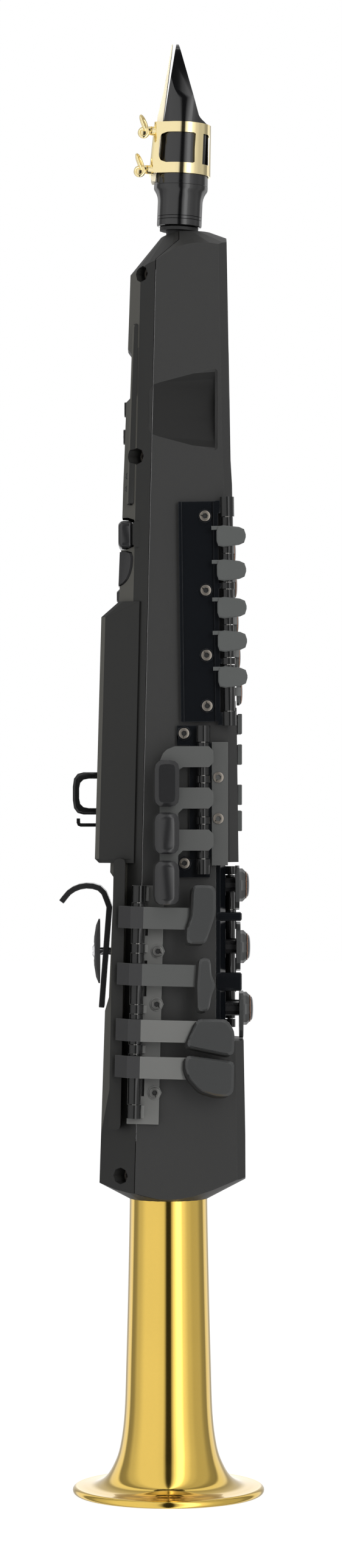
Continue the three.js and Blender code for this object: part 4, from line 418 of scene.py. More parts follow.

# Each finish with its colour and cloud colour as a screen shows them, the scale of its grain, its
# roughness and the spread of that, and its bump, then the colour, strength and width of its edges,
# worn in patches: a lighter edge colour stands for wear and painted highlight, a darker one for
# painted shade
finishes = {
    "housing": painted(
        "moulded_housing", (31, 31, 31), (35, 35, 34), 2600, 0.5, 0.12, 0.25, (57, 57, 55), 0.3),
    # The rear housing's darker edge colour is painted shade along its edges, chiefly at the seam with the
    # front housing.
    "rear": painted(
        "moulded_rear", (25, 25, 24), (29, 29, 28), 2600, 0.5, 0.12, 0.25, (9, 9, 9), 0.75, 0.0006,
        Specular_IOR_Level=0.33),
    # A lighter copy of the rear finish for the back-facing facets: painted light falling from behind.
    "lit_rear_back": painted("moulded_back_painted_light", (62, 61, 56), (70, 69, 64), 2600, 0.5, 0.12, 0.25),
    # Near-black finish for the hand scoop's hollow and for the dark copies under the touches: painted
    # shade.
    "painted_shade": painted(
        "moulded_painted_shade", (17, 17, 17), (21, 21, 20), 2600, 0.5, 0.12, 0.25, (57, 57, 55), 0.3,
        Specular_IOR_Level=0.25),
    # A darker finish without gloss inside the thumb opening and on the octave key's seat: painted shade in
    # the hollow.
    "shaded_cavity": painted(
        "moulded_cavity_painted_shade", (20, 20, 20), (24, 24, 24), 2600, 0.7, 0.1, 0.2, Specular_IOR_Level=0),
    "plate": painted(
        "lacquered_plate", (12, 14, 17), (16, 18, 21), 900, 0.16, 0.06, 0.03, (69, 70, 72), 0.5, 0.0004,
        Specular_IOR_Level=0.35),
    "key": painted(
        "satin_key", (66, 68, 67), (74, 76, 75), 1500, 0.38, 0.1, 0.08, (82, 84, 84), 0.45, 0.0004,
        Coat_Weight=0.2, Coat_Roughness=0.25),
    "arm": painted(
        "satin_arm", (66, 67, 66), (74, 75, 74), 1500, 0.4, 0.08, 0.06, (78, 78, 77), 0.45, 0.0005,
        Coat_Weight=0.2, Coat_Roughness=0.2),
    # A lighter copy of the arm finish for the lower plate and the open faces of two lower arms: a painted
    # highlight.
    "bright_arm": painted(
        "satin_arm_painted_highlight", (94, 95, 93), (104, 104, 102), 1500, 0.34, 0.08, 0.06, (140, 140, 138), 0.45,
        0.0005, Coat_Weight=0.2, Coat_Roughness=0.2),
    # The touches' lighter edge colour is a painted highlight round their rims, broken in patches.
    "touch": painted(
        "gloss_touch", (48, 49, 49), (54, 55, 55), 900, 0.32, 0.06, 0.03, (65, 65, 65), 0.5, 0.0008,
        Coat_Weight=0.1, Coat_Roughness=0.2),
    "dark_screw": painted(
        "screw_black", (84, 84, 82), (96, 96, 94), 1500, 0.3, 0.1, 0.08, (140, 138, 134), 0.4, 0.0003,
        Metallic=0.4),
    "gloss": painted(
        "gloss_black", (29, 29, 30), (35, 35, 36), 900, 0.2, 0.05, 0.03, (42, 42, 43), 0.4, 0.0006),
    "screw": painted(
        "screw_zinc", (118, 112, 104), (136, 130, 122), 1500, 0.32, 0.15, 0.1, (190, 186, 178), 0.4,
        0.0003, Metallic=0.85),
    "tube": painted(
        "hinge_tube", (15, 16, 16), (21, 21, 21), 900, 0.13, 0.05, 0.03, (49, 49, 49), 0.4, 0.0003,
        Specular_IOR_Level=0.42),
    # Near-black for the inside of the screws' hex sockets: painted shade in the hole.
    "socket": painted("socket_shade", (14, 14, 14), (20, 20, 20), 900, 0.6, 0.1, 0.05),
    "rod": metal("ground_rod", (170, 168, 164), 0.22, 0.15),
    "chrome": metal("chromed_screw", (215, 215, 217), 0.07, 0.05),
    "bell": metal(
        "bell_brass", (238, 200, 92), 0.1, 0.06, 260, 0.01, 0.03, Coat_Weight=0.6, Coat_Roughness=0.04),
    "ligature": metal("ligature_gold", (252, 234, 182), 0.08, 0.06, 1200, 1.0, 0.03),
    "ebonite": painted(
        "mouthpiece_ebonite", (7, 7, 8), (12, 12, 13), 600, 0.13, 0.05, 0.02, Coat_Weight=0.5,
        Coat_Roughness=0.05),
    "cane": cane(),
    "cork": painted("neck_cork_rings", (150, 112, 76), (180, 140, 100), 420, 0.8, 0.1, 0.6),
    "rubber": painted("pad_rubber", (15, 15, 16), (23, 23, 24), 1800, 0.6, 0.1, 0.3),
    "button": painted(
        "button_rubber", (30, 30, 30), (37, 37, 37), 1800, 0.55, 0.1, 0.2, (76, 76, 76), 0.3),
    "window": painted(
        "window_pane", (10, 11, 14), (14, 15, 19), 300, 0.05, 0.02, 0, Coat_Weight=1.0,
        Coat_Roughness=0.03),
    "pearl": painted(
        "pearl_black", (14, 14, 18), (34, 34, 42), 300, 0.08, 0.05, 0, cloud_scale=160, Coat_Weight=1.0,
        Coat_Roughness=0.03),
    "pearl_rim": painted(
        "pearl_rim_bronze", (150, 92, 50), (176, 116, 68), 900, 0.3, 0.1, 0.05, Metallic=0.7),
    "mark": painted("mark_print", (205, 205, 200), (220, 220, 215), 900, 0.6, 0.05, 0),
    "board": painted("board_mask", (20, 80, 45), (26, 96, 54), 900, 0.4, 0.1, 0.05),
    "cell": painted("cell_film", (60, 75, 120), (70, 86, 134), 900, 0.35, 0.1, 0.05),
    "shade": painted("driver_black", (18, 18, 18), (23, 23, 23), 900, 0.6, 0.1, 0.1),
}


# Working on pieces

def new_piece(name, mesh):
    piece = bpy.data.objects.new(name, mesh)
    bpy.context.scene.collection.objects.link(piece)
    return piece


def copy_of(piece, name):
    return new_piece(name, piece.data.copy())


def clear_selection():
    bpy.ops.object.select_all(action="DESELECT")


def make_active(piece):
    clear_selection()
    piece.select_set(True)
    bpy.context.view_layer.objects.active = piece


def edit_whole(piece):
    """Opens a piece in edit mode with all of it selected."""
    make_active(piece)
    bpy.ops.object.mode_set(mode="EDIT")
    bpy.ops.mesh.select_all(action="SELECT")


def smooth(piece, angle):
    make_active(piece)
    bpy.ops.object.shade_smooth_by_angle(angle=math.radians(angle))


# The axis of each hinge as a point in millimetres and a direction, and the radii of the tubes and
# posts round it
hinges = {
    "left": {"point": (29.2, -25.5, 372.3), "direction": (-0.01239, 0, 0.99992), "radii": (3.35, 2.75)},
    "side": {"point": (16.6, -27.5, 330), "direction": (0, 0, 1), "radii": (3.3, 2.65)},
    "lower": {"point": (-16.6, -27, 180), "direction": (0.02373, 0, 0.99972), "radii": (3.5, 3.2)},
    "right": {"point": (30, 17, 260), "direction": (0, 0, 1), "radii": (2.6, 2.5)},
    "table": {"point": (30, 25.5, 350), "direction": (0, 0, 1), "radii": (2.9, 2.6)},
    "palm": {"point": (9, 27, 520), "direction": (0, 0, 1), "radii": (3.0, 2.6)},
}

# An edge runs along a hinge above this cosine, and lies on a round part within this distance
lengthwise_cosine = 0.98
round_slack = 0.00006


def along_hinge(hinge):
    return Vector(hinges[hinge]["direction"]).normalized()


def reach_from(hinge, point):
    """The distance of a point from a hinge axis, in metres."""
    away = point - Vector(hinges[hinge]["point"]) * MM
    return (away - along_hinge(hinge) * away.dot(along_hinge(hinge))).length


def soften_round_parts(piece, hinge):
    """Lets the facets of posts and tubes round a hinge axis shade as one round face."""
    points = piece.data.vertices
    for edge in piece.data.edges:
        first, last = (points[index].co for index in edge.vertices)
        lengthwise = abs((last - first).normalized().dot(along_hinge(hinge))) > lengthwise_cosine
        reach = reach_from(hinge, first)
        if lengthwise and any(abs(reach - radius * MM) < round_slack for radius in hinges[hinge]["radii"]):
            edge.use_edge_sharp = False


def swell(piece, side, rise, steps, margin):
    """Domes the outermost flat face on one side of a piece."""
    depth_slack = 0.00002
    facing = 0.9
    make_active(piece)
    bpy.ops.object.mode_set(mode="EDIT")
    for step in range(steps):
        bpy.ops.mesh.select_all(action="DESELECT")
        form = bmesh.from_edit_mesh(piece.data)
        reach = max(side * face.calc_center_median().y for face in form.faces)
        for face in form.faces:
            outermost = side * face.calc_center_median().y > reach - depth_slack
            face.select = outermost and side * face.normal.y > facing
        bmesh.update_edit_mesh(piece.data)
        lift = rise * MM * (steps - step) / steps
        bpy.ops.mesh.inset(thickness=margin * MM, depth=lift, use_even_offset=False)
    bpy.ops.object.mode_set(mode="OBJECT")


def round_edges(piece, width, angle, segments=2):
    make_active(piece)
    bevel = piece.modifiers.new("rounded_edges", "BEVEL")
    bevel.width = width
    bevel.segments = segments
    bevel.limit_method = "ANGLE"
    bevel.angle_limit = math.radians(angle)
    bevel.harden_normals = True
    bevel.use_clamp_overlap = True
    bpy.ops.object.modifier_apply(modifier=bevel.name)


def finish_with(piece, finish):
    piece.data.materials.clear()
    piece.data.materials.append(finishes[finish])


def finish_faces(piece, finish, chosen):
    slot = len(piece.data.materials)
    piece.data.materials.append(finishes[finish])
    for face in piece.data.polygons:
        if chosen(face.center, face.normal):
            face.material_index = slot


# Pieces that take the place of a CAD solid

# Points of a solid closer than this are welded, and faces that turn by less than this are merged
weld_distance = 0.00001
flat_angle = math.radians(0.6)

# The finish of the tubes ends this far beyond their radius, in millimetres
tube_margin = 0.15

# A touch lies beyond this distance from the middle plane, and its arm within it
touch_start = 0.0345


def finish_arm(piece, hinge):
    """Gives the arm of a side, lower or palm key its own finish, its backward-facing faces the darker
    gloss as painted shade, and the side keys glossy tops.
    """
    arm_back = -0.12
    finish_faces(piece, "arm", lambda place, normal: abs(place.y) < touch_start)
    # Arm faces that turn back get the darker gloss: painted shade.
    finish_faces(piece, "gloss", lambda place, normal: abs(place.y) < touch_start and normal.x < arm_back)
    if hinge == "side":
        finish_faces(piece, "gloss", lambda place, normal: abs(place.y) > touch_start)


def refined(node, name, finish, width=0.0003, angle=34, bevel_angle=34, segments=2, hinge=None):
    """A copy of a CAD solid with its triangles merged and its edges rounded."""
    piece = copy_of(nodes[node], name)
    edit_whole(piece)
    bpy.ops.mesh.remove_doubles(threshold=weld_distance)
    bpy.ops.mesh.dissolve_limited(angle_limit=flat_angle)
    bpy.ops.object.mode_set(mode="OBJECT")
    if hinge == "side" and finish == "touch":
        swell(piece, side=-1, rise=0.3, steps=4, margin=0.7)
    finish_with(piece, finish)
    smooth(piece, angle)
    if hinge:
        soften_round_parts(piece, hinge)
        if finish == "touch":
            finish_arm(piece, hinge)
        tube_reach = (max(hinges[hinge]["radii"]) + tube_margin) * MM
        finish_faces(piece, "tube", lambda place, normal: reach_from(hinge, place) < tube_reach)
    for other, chosen in second_finishes.get(node, ()):
        finish_faces(piece, other, chosen)
    if width:
        round_edges(piece, width, bevel_angle, segments)
    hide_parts(node)
    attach(piece, nodes[node]["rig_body"])
    return piece


# The hand scoop's faces, which take the painted shade
def in_scoop(place, normal):
    level_with_scoop = 0.497 < place.z < 0.55
    beside_middle = abs(place.y) > 0.004
    faces_outward = abs(normal.y) > 0.8 and normal.y * place.y > 0
    return level_with_scoop and beside_middle and faces_outward and 0.08 < normal.x < 0.3


def on_cup(place, normal):
    return place.x > 0.0318


# The open faces of a lower arm, which take the painted highlight
def on_open_arm(place, normal):
    return place.x > -0.0145 and -touch_start < place.y and normal.y < -0.6


# The back-facing facets, which take the painted light
def on_back(place, normal):
    return normal.x < -0.6 and abs(normal.z) < 0.5


def in_thumb_opening(place, normal):
    level_with_opening = 0.445 < place.z < 0.478
    on_wall = abs(normal.z) > 0.7 or abs(normal.y) > 0.9
    return level_with_opening and abs(place.y) < 0.0185 and on_wall


# Faces of a solid that have another finish than the rest of it; the darker scoop and thumb opening are
# painted shade, and the lighter back facets and open arm faces are painted light
second_finishes = {
    "front_housing": [("painted_shade", in_scoop)],
    "rear_housing": [("lit_rear_back", on_back), ("shaded_cavity", in_thumb_opening)],
    "low_c_key": [("bright_arm", on_open_arm)],
    "low_e_flat_key": [("bright_arm", on_open_arm)],
    "d_key": [("touch", on_cup)],
    "e_key": [("touch", on_cup)],
    "f_key": [("touch", on_cup)],
}

# Each CAD solid with its finish and the width that its edges are rounded by, 0 for sharp edges, then
# the widest angle that shades smoothly, the angle that counts as an edge, and the steps of its round
refinements = {
    "front_housing": ("housing", 0.0004, 12, 12),
    "rear_housing": ("rear", 0.0003, 12, 12),
    "neck_tube": ("shade", 0.0002),
    "main_board": ("board", 0),
    "battery_pack": ("cell", 0),
    "vibration_driver": ("shade", 0),
    "display_window": ("window", 0.0001),
    "volume_up_button": ("button", 0.0003),
    "volume_down_button": ("button", 0.0003),
    "function_button_upper": ("button", 0.0003, 40),
    "function_button_lower": ("button", 0.0003, 40),
    "octave_key": ("gloss", 0.0006, 40, 30, 3),
    "thumb_rest": ("gloss", 0.0004, 20, 30, 3),
    "analog_controller": ("gloss", 0.0005, 60, 30, 3),
    "battery_door": ("rear", 0.0003),
    "strap_ring": ("tube", 0.0002, 50),
    "cable_hook": ("tube", 0.0003),
    "thumb_hook": ("gloss", 0.0003),
    "thumb_hook_pad": ("rubber", 0, 40),
    "thumb_hook_screw": ("chrome", 0.0002),
    "neck_cork": ("cork", 0),
    "reed": ("cane", 0),
}

# The plate, the finger keys and the keys with a touch on an arm that belong to each hinge
hinged_pieces = {
    "left": ("left_stack_plate", ("g_key", "a_key", "bis_key", "b_key", "front_f_key"), ()),
    "side": ("side_key_plate", (), ("side_b_flat_key", "side_c_key", "high_e_key")),
    "lower": ("lower_key_plate", (),
              ("low_c_key", "low_e_flat_key", "side_f_sharp_key", "high_f_sharp_key")),
    "right": ("right_stack_plate", (), ()),
    "table": ("table_key_plate", ("low_b_flat_key", "low_b_key", "low_c_sharp_key", "g_sharp_key"), ()),
    "palm": ("palm_key_plate", (), ("high_d_key", "high_e_flat_key", "high_f_key")),
}
for hinge, (plate, keys, touches) in hinged_pieces.items():
    touch_angle = 28 if hinge == "side" else 8
    refinements[plate] = ("plate", 0.0003, 8, 50, 2, hinge)
    refinements.update({name: ("key", 0.0003, 12, 50, 2, hinge) for name in keys})
    refinements.update({name: ("touch", 0.0006, touch_angle, 50, 3, hinge) for name in touches})
    if hinge != "palm":
        refinements[plate.replace("_plate", "_rod")] = ("rod", 0, 50)
for name in ("d_key", "e_key", "f_key"):
    refinements[name] = ("gloss", 0.0003, 12, 50, 2, "right")
# The lower plate takes the lighter arm finish, a painted highlight.
refinements["lower_key_plate"] = ("bright_arm", 0.0003, 8, 50, 2, "lower")


def refine_all():
    return {node: refined(node, node + "_form", *look) for node, look in refinements.items()}


# Turned pieces, from an outline of radius and height

seam_distance = 0.000002


def lathe(name, outline, steps, finish):
    """Spins an outline round the Z axis."""
    mesh = bpy.data.meshes.new(name)
    corners = [(radius * MM, 0, height * MM) for radius, height in outline]
    mesh.from_pydata(corners, [(i, i + 1) for i in range(len(corners) - 1)], [])
    piece = new_piece(name, mesh)
    edit_whole(piece)
    bpy.ops.mesh.spin(steps=steps, angle=math.tau, center=(0, 0, 0), axis=(0, 0, 1))
    bpy.ops.mesh.select_all(action="SELECT")
    bpy.ops.mesh.remove_doubles(threshold=seam_distance)
    bpy.ops.mesh.normals_make_consistent(inside=False)
    bpy.ops.object.mode_set(mode="OBJECT")
    finish_with(piece, finish)
    return piece


def rounded(points, steps):
    """A smooth outline through the given points."""
    last = len(points) - 1
    smooth_points = []
    for i in range(last):
        nearby = [points[min(max(k, 0), last)] for k in range(i - 1, i + 3)]
        before, start, end, after = (Vector(point) for point in nearby)
        for k in range(steps):
            t = k / steps
            smooth_points.append(0.5 * ((2 * start) + (end - before) * t
                                 + (2 * before - 5 * start + 4 * end - after) * t ** 2
                                 + (3 * start - before - 3 * end + after) * t ** 3))
    return [tuple(p) for p in smooth_points] + [tuple(points[last])]


def stand_on(piece, place, direction, turn=0.0):
    """Moves a turned mesh so that its foot is at a place in millimetres and its axis points one way."""
    across = Vector(direction).to_track_quat("Z", "Y").to_matrix().to_4x4()
    twist = Matrix.Rotation(turn, 4, "Z")
    piece.data.transform(Matrix.Translation(Vector(place) * MM) @ across @ twist)
    return piece


# Painted shade beside and under the touches

shade_skirt_inset = 1.1

# How far the painted shade of a hinge's touches sits to the left of them and below them, in millimetres
shade_skirt_places = {"lower": (1.3, 1.1), "side": (0.9, 0)}


def add_shade_skirt(node, touch_form, left, down):
    """A dark copy of a touch's top, a little to the left of it and below it, as painted shade."""
    shade_skirt = copy_of(touch_form, node + "_shade_skirt")
    form = bmesh.new()
    form.from_mesh(shade_skirt.data)
    arm_points = [point for point in form.verts if abs(point.co.y) < touch_start]
    bmesh.ops.delete(form, geom=arm_points, context="VERTS")
    form.to_mesh(shade_skirt.data)
    form.free()
    inward = shade_skirt_inset if shade_skirt.data.vertices[0].co.y < 0 else -shade_skirt_inset
    shade_skirt.data.transform(Matrix.Translation(Vector((-left, inward, -down)) * MM))
    # The near-black finish makes the copy painted shade at the touch's side and foot.
    finish_with(shade_skirt, "painted_shade")
    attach(shade_skirt, nodes[node]["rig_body"])


# Bell

# Outlines of the bell as radius and height in millimetres
bell_outside = [
    (18.75, 163.4), (18.75, 142.4), (19.55, 99.96), (20.4, 66), (21.31, 38.59), (23.37, 22.5),
    (26.34, 13.81), (30.34, 7.55), (35.2, 4.55), (40.2, 3.75), (44.07, 3.47),
]
bell_inside = [
    (42.5, 0.65), (40, 1.6), (37.27, 2.31), (33.6, 3.6), (29.5, 6.69), (25.26, 13.29), (22.2, 22.23),
    (20.11, 38.52), (18.35, 99.94), (17.55, 142.4), (17.55, 163.4),
]
bell_foot = [(45.4, 0), (43.4, 0)]
roll_centre = (44.4, 1.6)
roll_radius = 1.9
bell_steps = 128


def roll_point(degrees):
    angle = math.radians(degrees)
    return roll_centre[0] + roll_radius * math.cos(angle), roll_centre[1] + roll_radius * math.sin(angle)


def add_bell():
    roll = [roll_point(degrees) for degrees in range(96, -56, -12)]
    outline = rounded(bell_outside, steps=5) + roll + bell_foot + rounded(bell_inside, steps=5)
    outline.append(outline[0])
    bell = lathe("brass_bell", outline, bell_steps, "bell")
    smooth(bell, angle=34)
    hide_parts("bell")
    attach(bell, "instrument")


# Socket screws

# Sizes of a socket screw in millimetres
head_radius = 2.6
head_depth = 1.4
head_middle = 0.4
head_round = 0.3
socket_margin = 0.8
socket_half_width = 1.2
socket_depth = 0.8

# Faces with a steeper normal than this count as facing up
facing_up = 0.9


def hexagon_reach(angle, half_width):
    """The distance from the middle of a hexagon to its side in one direction."""
    return half_width / math.cos((angle % math.radians(60)) - math.radians(30))


def in_socket(place, normal):
    return place.length < 1.4 * MM and -0.2 * MM < place.z < 0.9 * MM


def model_socket_screw():
    clear_selection()
    bpy.ops.mesh.primitive_cylinder_add(vertices=32, radius=head_radius * MM, depth=head_depth * MM,
                                        location=(0, 0, head_middle * MM))
    screw = bpy.context.object
    screw.name = "socket_screw_pattern"
    bpy.ops.object.transform_apply(location=True, rotation=False, scale=False)
    bpy.ops.object.mode_set(mode="EDIT")
    bpy.ops.mesh.select_all(action="DESELECT")
    form = bmesh.from_edit_mesh(screw.data)
    for face in form.faces:
        face.select = face.normal.z > facing_up
    bmesh.update_edit_mesh(screw.data)
    bpy.ops.mesh.bevel(offset=head_round * MM, segments=2, affect="EDGES")
    bpy.ops.mesh.select_all(action="DESELECT")
    form = bmesh.from_edit_mesh(screw.data)
    upper_faces = [face for face in form.faces if face.normal.z > facing_up]
    top = max(upper_faces, key=lambda face: face.calc_area())
    top.select = True
    bmesh.update_edit_mesh(screw.data)
    bpy.ops.mesh.inset(thickness=socket_margin * MM)
    form = bmesh.from_edit_mesh(screw.data)
    for point in (v for v in form.verts if v.select):
        angle = math.atan2(point.co.y, point.co.x)
        reach = hexagon_reach(angle, socket_half_width * MM)
        point.co.x, point.co.y = reach * math.cos(angle), reach * math.sin(angle)
    bmesh.update_edit_mesh(screw.data)
    bpy.ops.mesh.extrude_region_move(TRANSFORM_OT_translate={"value": (0, 0, -socket_depth * MM)})
    bpy.ops.object.mode_set(mode="OBJECT")
    finish_with(screw, "screw")
    finish_faces(screw, "socket", in_socket)
    smooth(screw, angle=30)
    return screw


# Mouthpiece with its ligature and wing screws, drawn along its own axis from its shank's end

def solid_from(name, rings, finish):
    """A closed skin through rings of points in millimetres, with a flat face at both ends."""
    count = len(rings[0])
    corners = [tuple(Vector(point) * MM) for ring in rings for point in ring]
    rows = [range(level * count, (level + 1) * count) for level in range(len(rings))]
    faces = [(low[i], low[(i + 1) % count], high[(i + 1) % count], high[i])
             for low, high in zip(rows, rows[1:]) for i in range(count)]
    faces += [tuple(rows[0]), tuple(rows[-1])]
    mesh = bpy.data.meshes.new(name)
    mesh.from_pydata(corners, [], faces)
    piece = new_piece(name, mesh)
    edit_whole(piece)
    bpy.ops.mesh.normals_make_consistent(inside=False)
    bpy.ops.object.mode_set(mode="OBJECT")
    finish_with(piece, finish)
    return piece


def carve(piece, tool, operation="DIFFERENCE"):
    """Cuts a tool out of a piece, or joins it on, and removes the tool."""
    make_active(piece)
    modifier = piece.modifiers.new("carve", "BOOLEAN")
    modifier.operation = operation
    modifier.object = tool
    bpy.ops.object.modifier_apply(modifier=modifier.name)
    bpy.data.objects.remove(tool, do_unlink=True)


def side_prism(name, outline, low, high, finish):
    """A slab with an outline seen from the side, between two distances from the middle plane."""
    return solid_from(name, [[(x, y, z) for x, z in outline] for y in (low, high)], finish)


def front_prism(name, outline, low, high, finish):
    """A slab with an outline seen from the front, between two depths."""
    return solid_from(name, [[(x, y, z) for y, z in outline] for x in (low, high)], finish)


def round_bar(start, end, radius, finish, steps=32):
    axis = Vector(end) - Vector(start)
    outline = [(0, 0), (radius, 0), (radius, axis.length), (0, axis.length)]
    return stand_on(lathe("bar_tool", outline, steps, finish), start, axis)


neck_end = (5, 0, 608.5)
neck_lean = math.radians(2.5)
shank_gap = 2.8
mouth_place = (Matrix.Translation(Vector(neck_end) * MM) @ Matrix.Rotation(neck_lean, 4, "Y")
               @ Matrix.Translation(Vector((0, 0, shank_gap)) * MM))

# The turned form as radius and height, from the shank with its grooves to the beak
mouth_outline = [
    (0, 0), (10.3, 0), (10.75, 0.35), (10.85, 0.9), (10.85, 3.1), (10.6, 3.25), (10.85, 3.4),
    (10.85, 4.6), (10.6, 4.75), (10.85, 4.9), (10.85, 11.8), (10.9, 12.8), (11.1, 14), (11.5, 15.2),
    (12.1, 16.4), (12.7, 17.3), (13, 18), (13.05, 19.6), (12.9, 19.75), (13, 19.9), (12.1, 49.2),
    (12.1, 88.4), (0, 88.4),
]
mouth_steps = 96

# The cuts as outlines: the beak from the side, the blade from the front, the window from the side
beak_outline = [
    (-14, -1), (14, -1), (14, 49), (12.1, 49), (11.3, 49.7), (10.1, 50.5), (9, 51.2), (8, 52.1),
    (7.2, 53.2), (-4.2, 88.4), (-5.1, 88.4), (-9.7, 49.2), (-12.1, 21), (-14, 20),
]
blade_side = [(8.2, 80.2), (7.95, 82.4), (7.05, 84.6), (5.7, 86.2), (4.26, 87.5), (2.2, 88.2)]
blade_tip = (0, 88.4)
blade_far_side = [(-y, z) for y, z in reversed(blade_side)]
blade_outline = [(-14, -1), (14, -1), (14, 49.2), *blade_side, blade_tip, *blade_far_side, (-14, 49.2)]
window_outline = [(-14, 43), (2.8, 43), (2.8, 52.5), (-5.5, 83), (-14, 83)]
window_half_width = 5.6
cut_reach = 14
bore_start = (0, 0, -1)
bore_end = (0, 0, 44)
bore_radius = 8.05


def add_mouthpiece():
    piece = lathe("mouthpiece_body", mouth_outline, mouth_steps, "ebonite")
    carve(piece, side_prism("beak_tool", beak_outline, -cut_reach, cut_reach, "ebonite"), "INTERSECT")
    carve(piece, front_prism("blade_tool", blade_outline, -cut_reach, cut_reach, "ebonite"), "INTERSECT")
    carve(piece, round_bar(bore_start, bore_end, bore_radius, "ebonite", steps=64))
    window = side_prism("window_tool", window_outline, -window_half_width, window_half_width, "ebonite")
    carve(piece, window)
    piece.data.transform(mouth_place)
    smooth(piece, angle=24)
    round_edges(piece, width=0.0002, angle=30)
    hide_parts("mouthpiece")
    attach(piece, nodes["mouthpiece"]["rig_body"])


# The mouthpiece's cone that the ligature grips, by its lower and upper height
cone_low = 19.9
cone_high = 49.2
cone_radius = 13
cone_taper = 0.9

band_low = 24.7
band_high = 49.4
band_steps = 6
band_gap = 0.3
band_thickness = 0.9
band_wrap = math.radians(122)
arc_steps = 80

# The reed under the ligature: half its width, and its back, which slopes over a length from its foot
reed_half_width = 6.8
reed_back = -14.6
reed_slope = 1.9
reed_foot = 21
reed_slope_length = 31


def band_ring(z, grow):
    """The line round the mouthpiece and the reed at one height of the ligature."""
    share = (z - cone_low) / (cone_high - cone_low)
    radius = cone_radius - cone_taper * share + band_gap + grow
    back = reed_back + reed_slope * (z - reed_foot) / reed_slope_length - band_gap - grow
    half = reed_half_width + grow
    turns = [band_wrap * (2 * i / arc_steps - 1) for i in range(arc_steps + 1)]
    arc = [(radius * math.cos(turn), radius * math.sin(turn), z) for turn in turns]
    return arc + [
        (back + 1.5, half + 1.2, z), (back + 0.4, half + 0.2, z), (back, half - 0.8, z),
        (back, 0.8 - half, z), (back + 0.4, -half - 0.2, z), (back + 1.5, -half - 1.2, z),
    ]


# The opening in the ligature's side
opening_low = 29.7
opening_high = 44.4
opening_middle = 37.05
opening_half_height = 7.35
bow_steps = 16


def bow_point(z):
    """The bowed back edge of the ligature's opening at one height."""
    return -11.4 + 2.1 * ((z - opening_middle) / opening_half_height) ** 4, z


def side_opening():
    """The outline of the opening, with the bowed back edge and rounded corners."""
    height = opening_high - opening_low
    bow = [bow_point(opening_high - height * i / bow_steps) for i in range(1, bow_steps)]
    return [
        (-7.6, opening_low), (5.2, opening_low), (6.1, opening_low + 0.5), (5.9, opening_middle),
        (6.1, opening_high - 0.5), (5.2, opening_high), (-7.6, opening_high),
    ] + bow


# The clear space between the ligature's front strips
front_opening = [(9.8, opening_low), (12.9, opening_low), (12.9, opening_high), (9.8, opening_high)]
through_reach = 26
inside_low = 23
inside_high = 51

# Height of each wing screw and how far its bearing reaches from the axis
screw_ends = {"ligature_screw_lower": (26.2, 18.76), "ligature_screw_upper": (45, 17.49)}
screw_turn = math.radians(25)
boss_radius = 2.2
boss_length = 4.2
hole_radius = 1.3
hole_depth = 2.4


def screw_point(distance, height):
    return (-distance * math.cos(screw_turn), -distance * math.sin(screw_turn), height)


def add_ligature():
    levels = [band_low + (band_high - band_low) * i / band_steps for i in range(band_steps + 1)]
    piece = solid_from("ligature_band", [band_ring(z, band_thickness) for z in levels], "ligature")
    for height, reach in screw_ends.values():
        foot = screw_point(reach - boss_length, height)
        boss = round_bar(foot, screw_point(reach, height), boss_radius, "ligature")
        carve(piece, boss, "UNION")
    inner = [band_ring(z, 0) for z in [inside_low] + levels + [inside_high]]
    carve(piece, solid_from("band_tool", inner, "ligature"))
    for outline in (side_opening(), front_opening):
        carve(piece, side_prism("opening_tool", outline, -through_reach, through_reach, "ligature"))
    for height, reach in screw_ends.values():
        floor = screw_point(reach - hole_depth, height)
        hole = round_bar(floor, screw_point(reach + 1, height), hole_radius, "ligature")
        carve(piece, hole)
    piece.data.transform(mouth_place)
    smooth(piece, angle=24)
    round_edges(piece, width=0.00025, angle=30)
    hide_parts("ligature")
    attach(piece, nodes["ligature"]["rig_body"])


lobe_rim = 0.75
lobe_overlap = 0.5
lobe_flatness = 0.16

# Each lobe of a wing screw with its place, its lean and turn, its length and its width
upper_lobe = ((-3.3, 0.4, 3.2), math.radians(-24), math.radians(-52), 9.8, 5.4)
lower_lobe = ((-4, -1.2, -1.4), math.radians(25), math.radians(62), 6.6, 5.8)

# The wing screw's stem and collar as radius and height
stem_outline = [
    (0, 0), (1.05, 0), (1.05, 2.3), (1.9, 2.4), (2.05, 2.8), (1.75, 3.4), (1.5, 3.9), (1.9, 4.5),
    (1.8, 5.2), (1, 5.7), (0, 5.8),
]
stem_start = (2.1, 0, 0)
stem_steps = 48


def add_lobe(place, lean, turn, length, width):
    """An oval thumb plate with a thick round rim, standing on its lower end."""
    clear_selection()
    bpy.ops.mesh.primitive_torus_add(major_radius=(width / 2 - lobe_rim) * MM, minor_radius=lobe_rim * MM,
                                     major_segments=40, minor_segments=12,
                                     rotation=(0, math.radians(90), 0))
    rim = bpy.context.object
    bpy.ops.mesh.primitive_uv_sphere_add(segments=32, ring_count=16,
                                         radius=(width / 2 - lobe_overlap) * MM)
    web = bpy.context.object
    web.scale = (lobe_flatness, 1, 1)
    rim.select_set(True)
    bpy.context.view_layer.objects.active = rim
    bpy.ops.object.transform_apply(location=True, rotation=True, scale=True)
    bpy.ops.object.join()
    stretch = Matrix.Diagonal((1, 1, length / width, 1))
    tilt = Matrix.Rotation(turn, 4, "Z") @ Matrix.Rotation(lean, 4, "Y")
    rim.data.transform(Matrix.Translation(Vector(place) * MM) @ tilt @ stretch)
    return rim


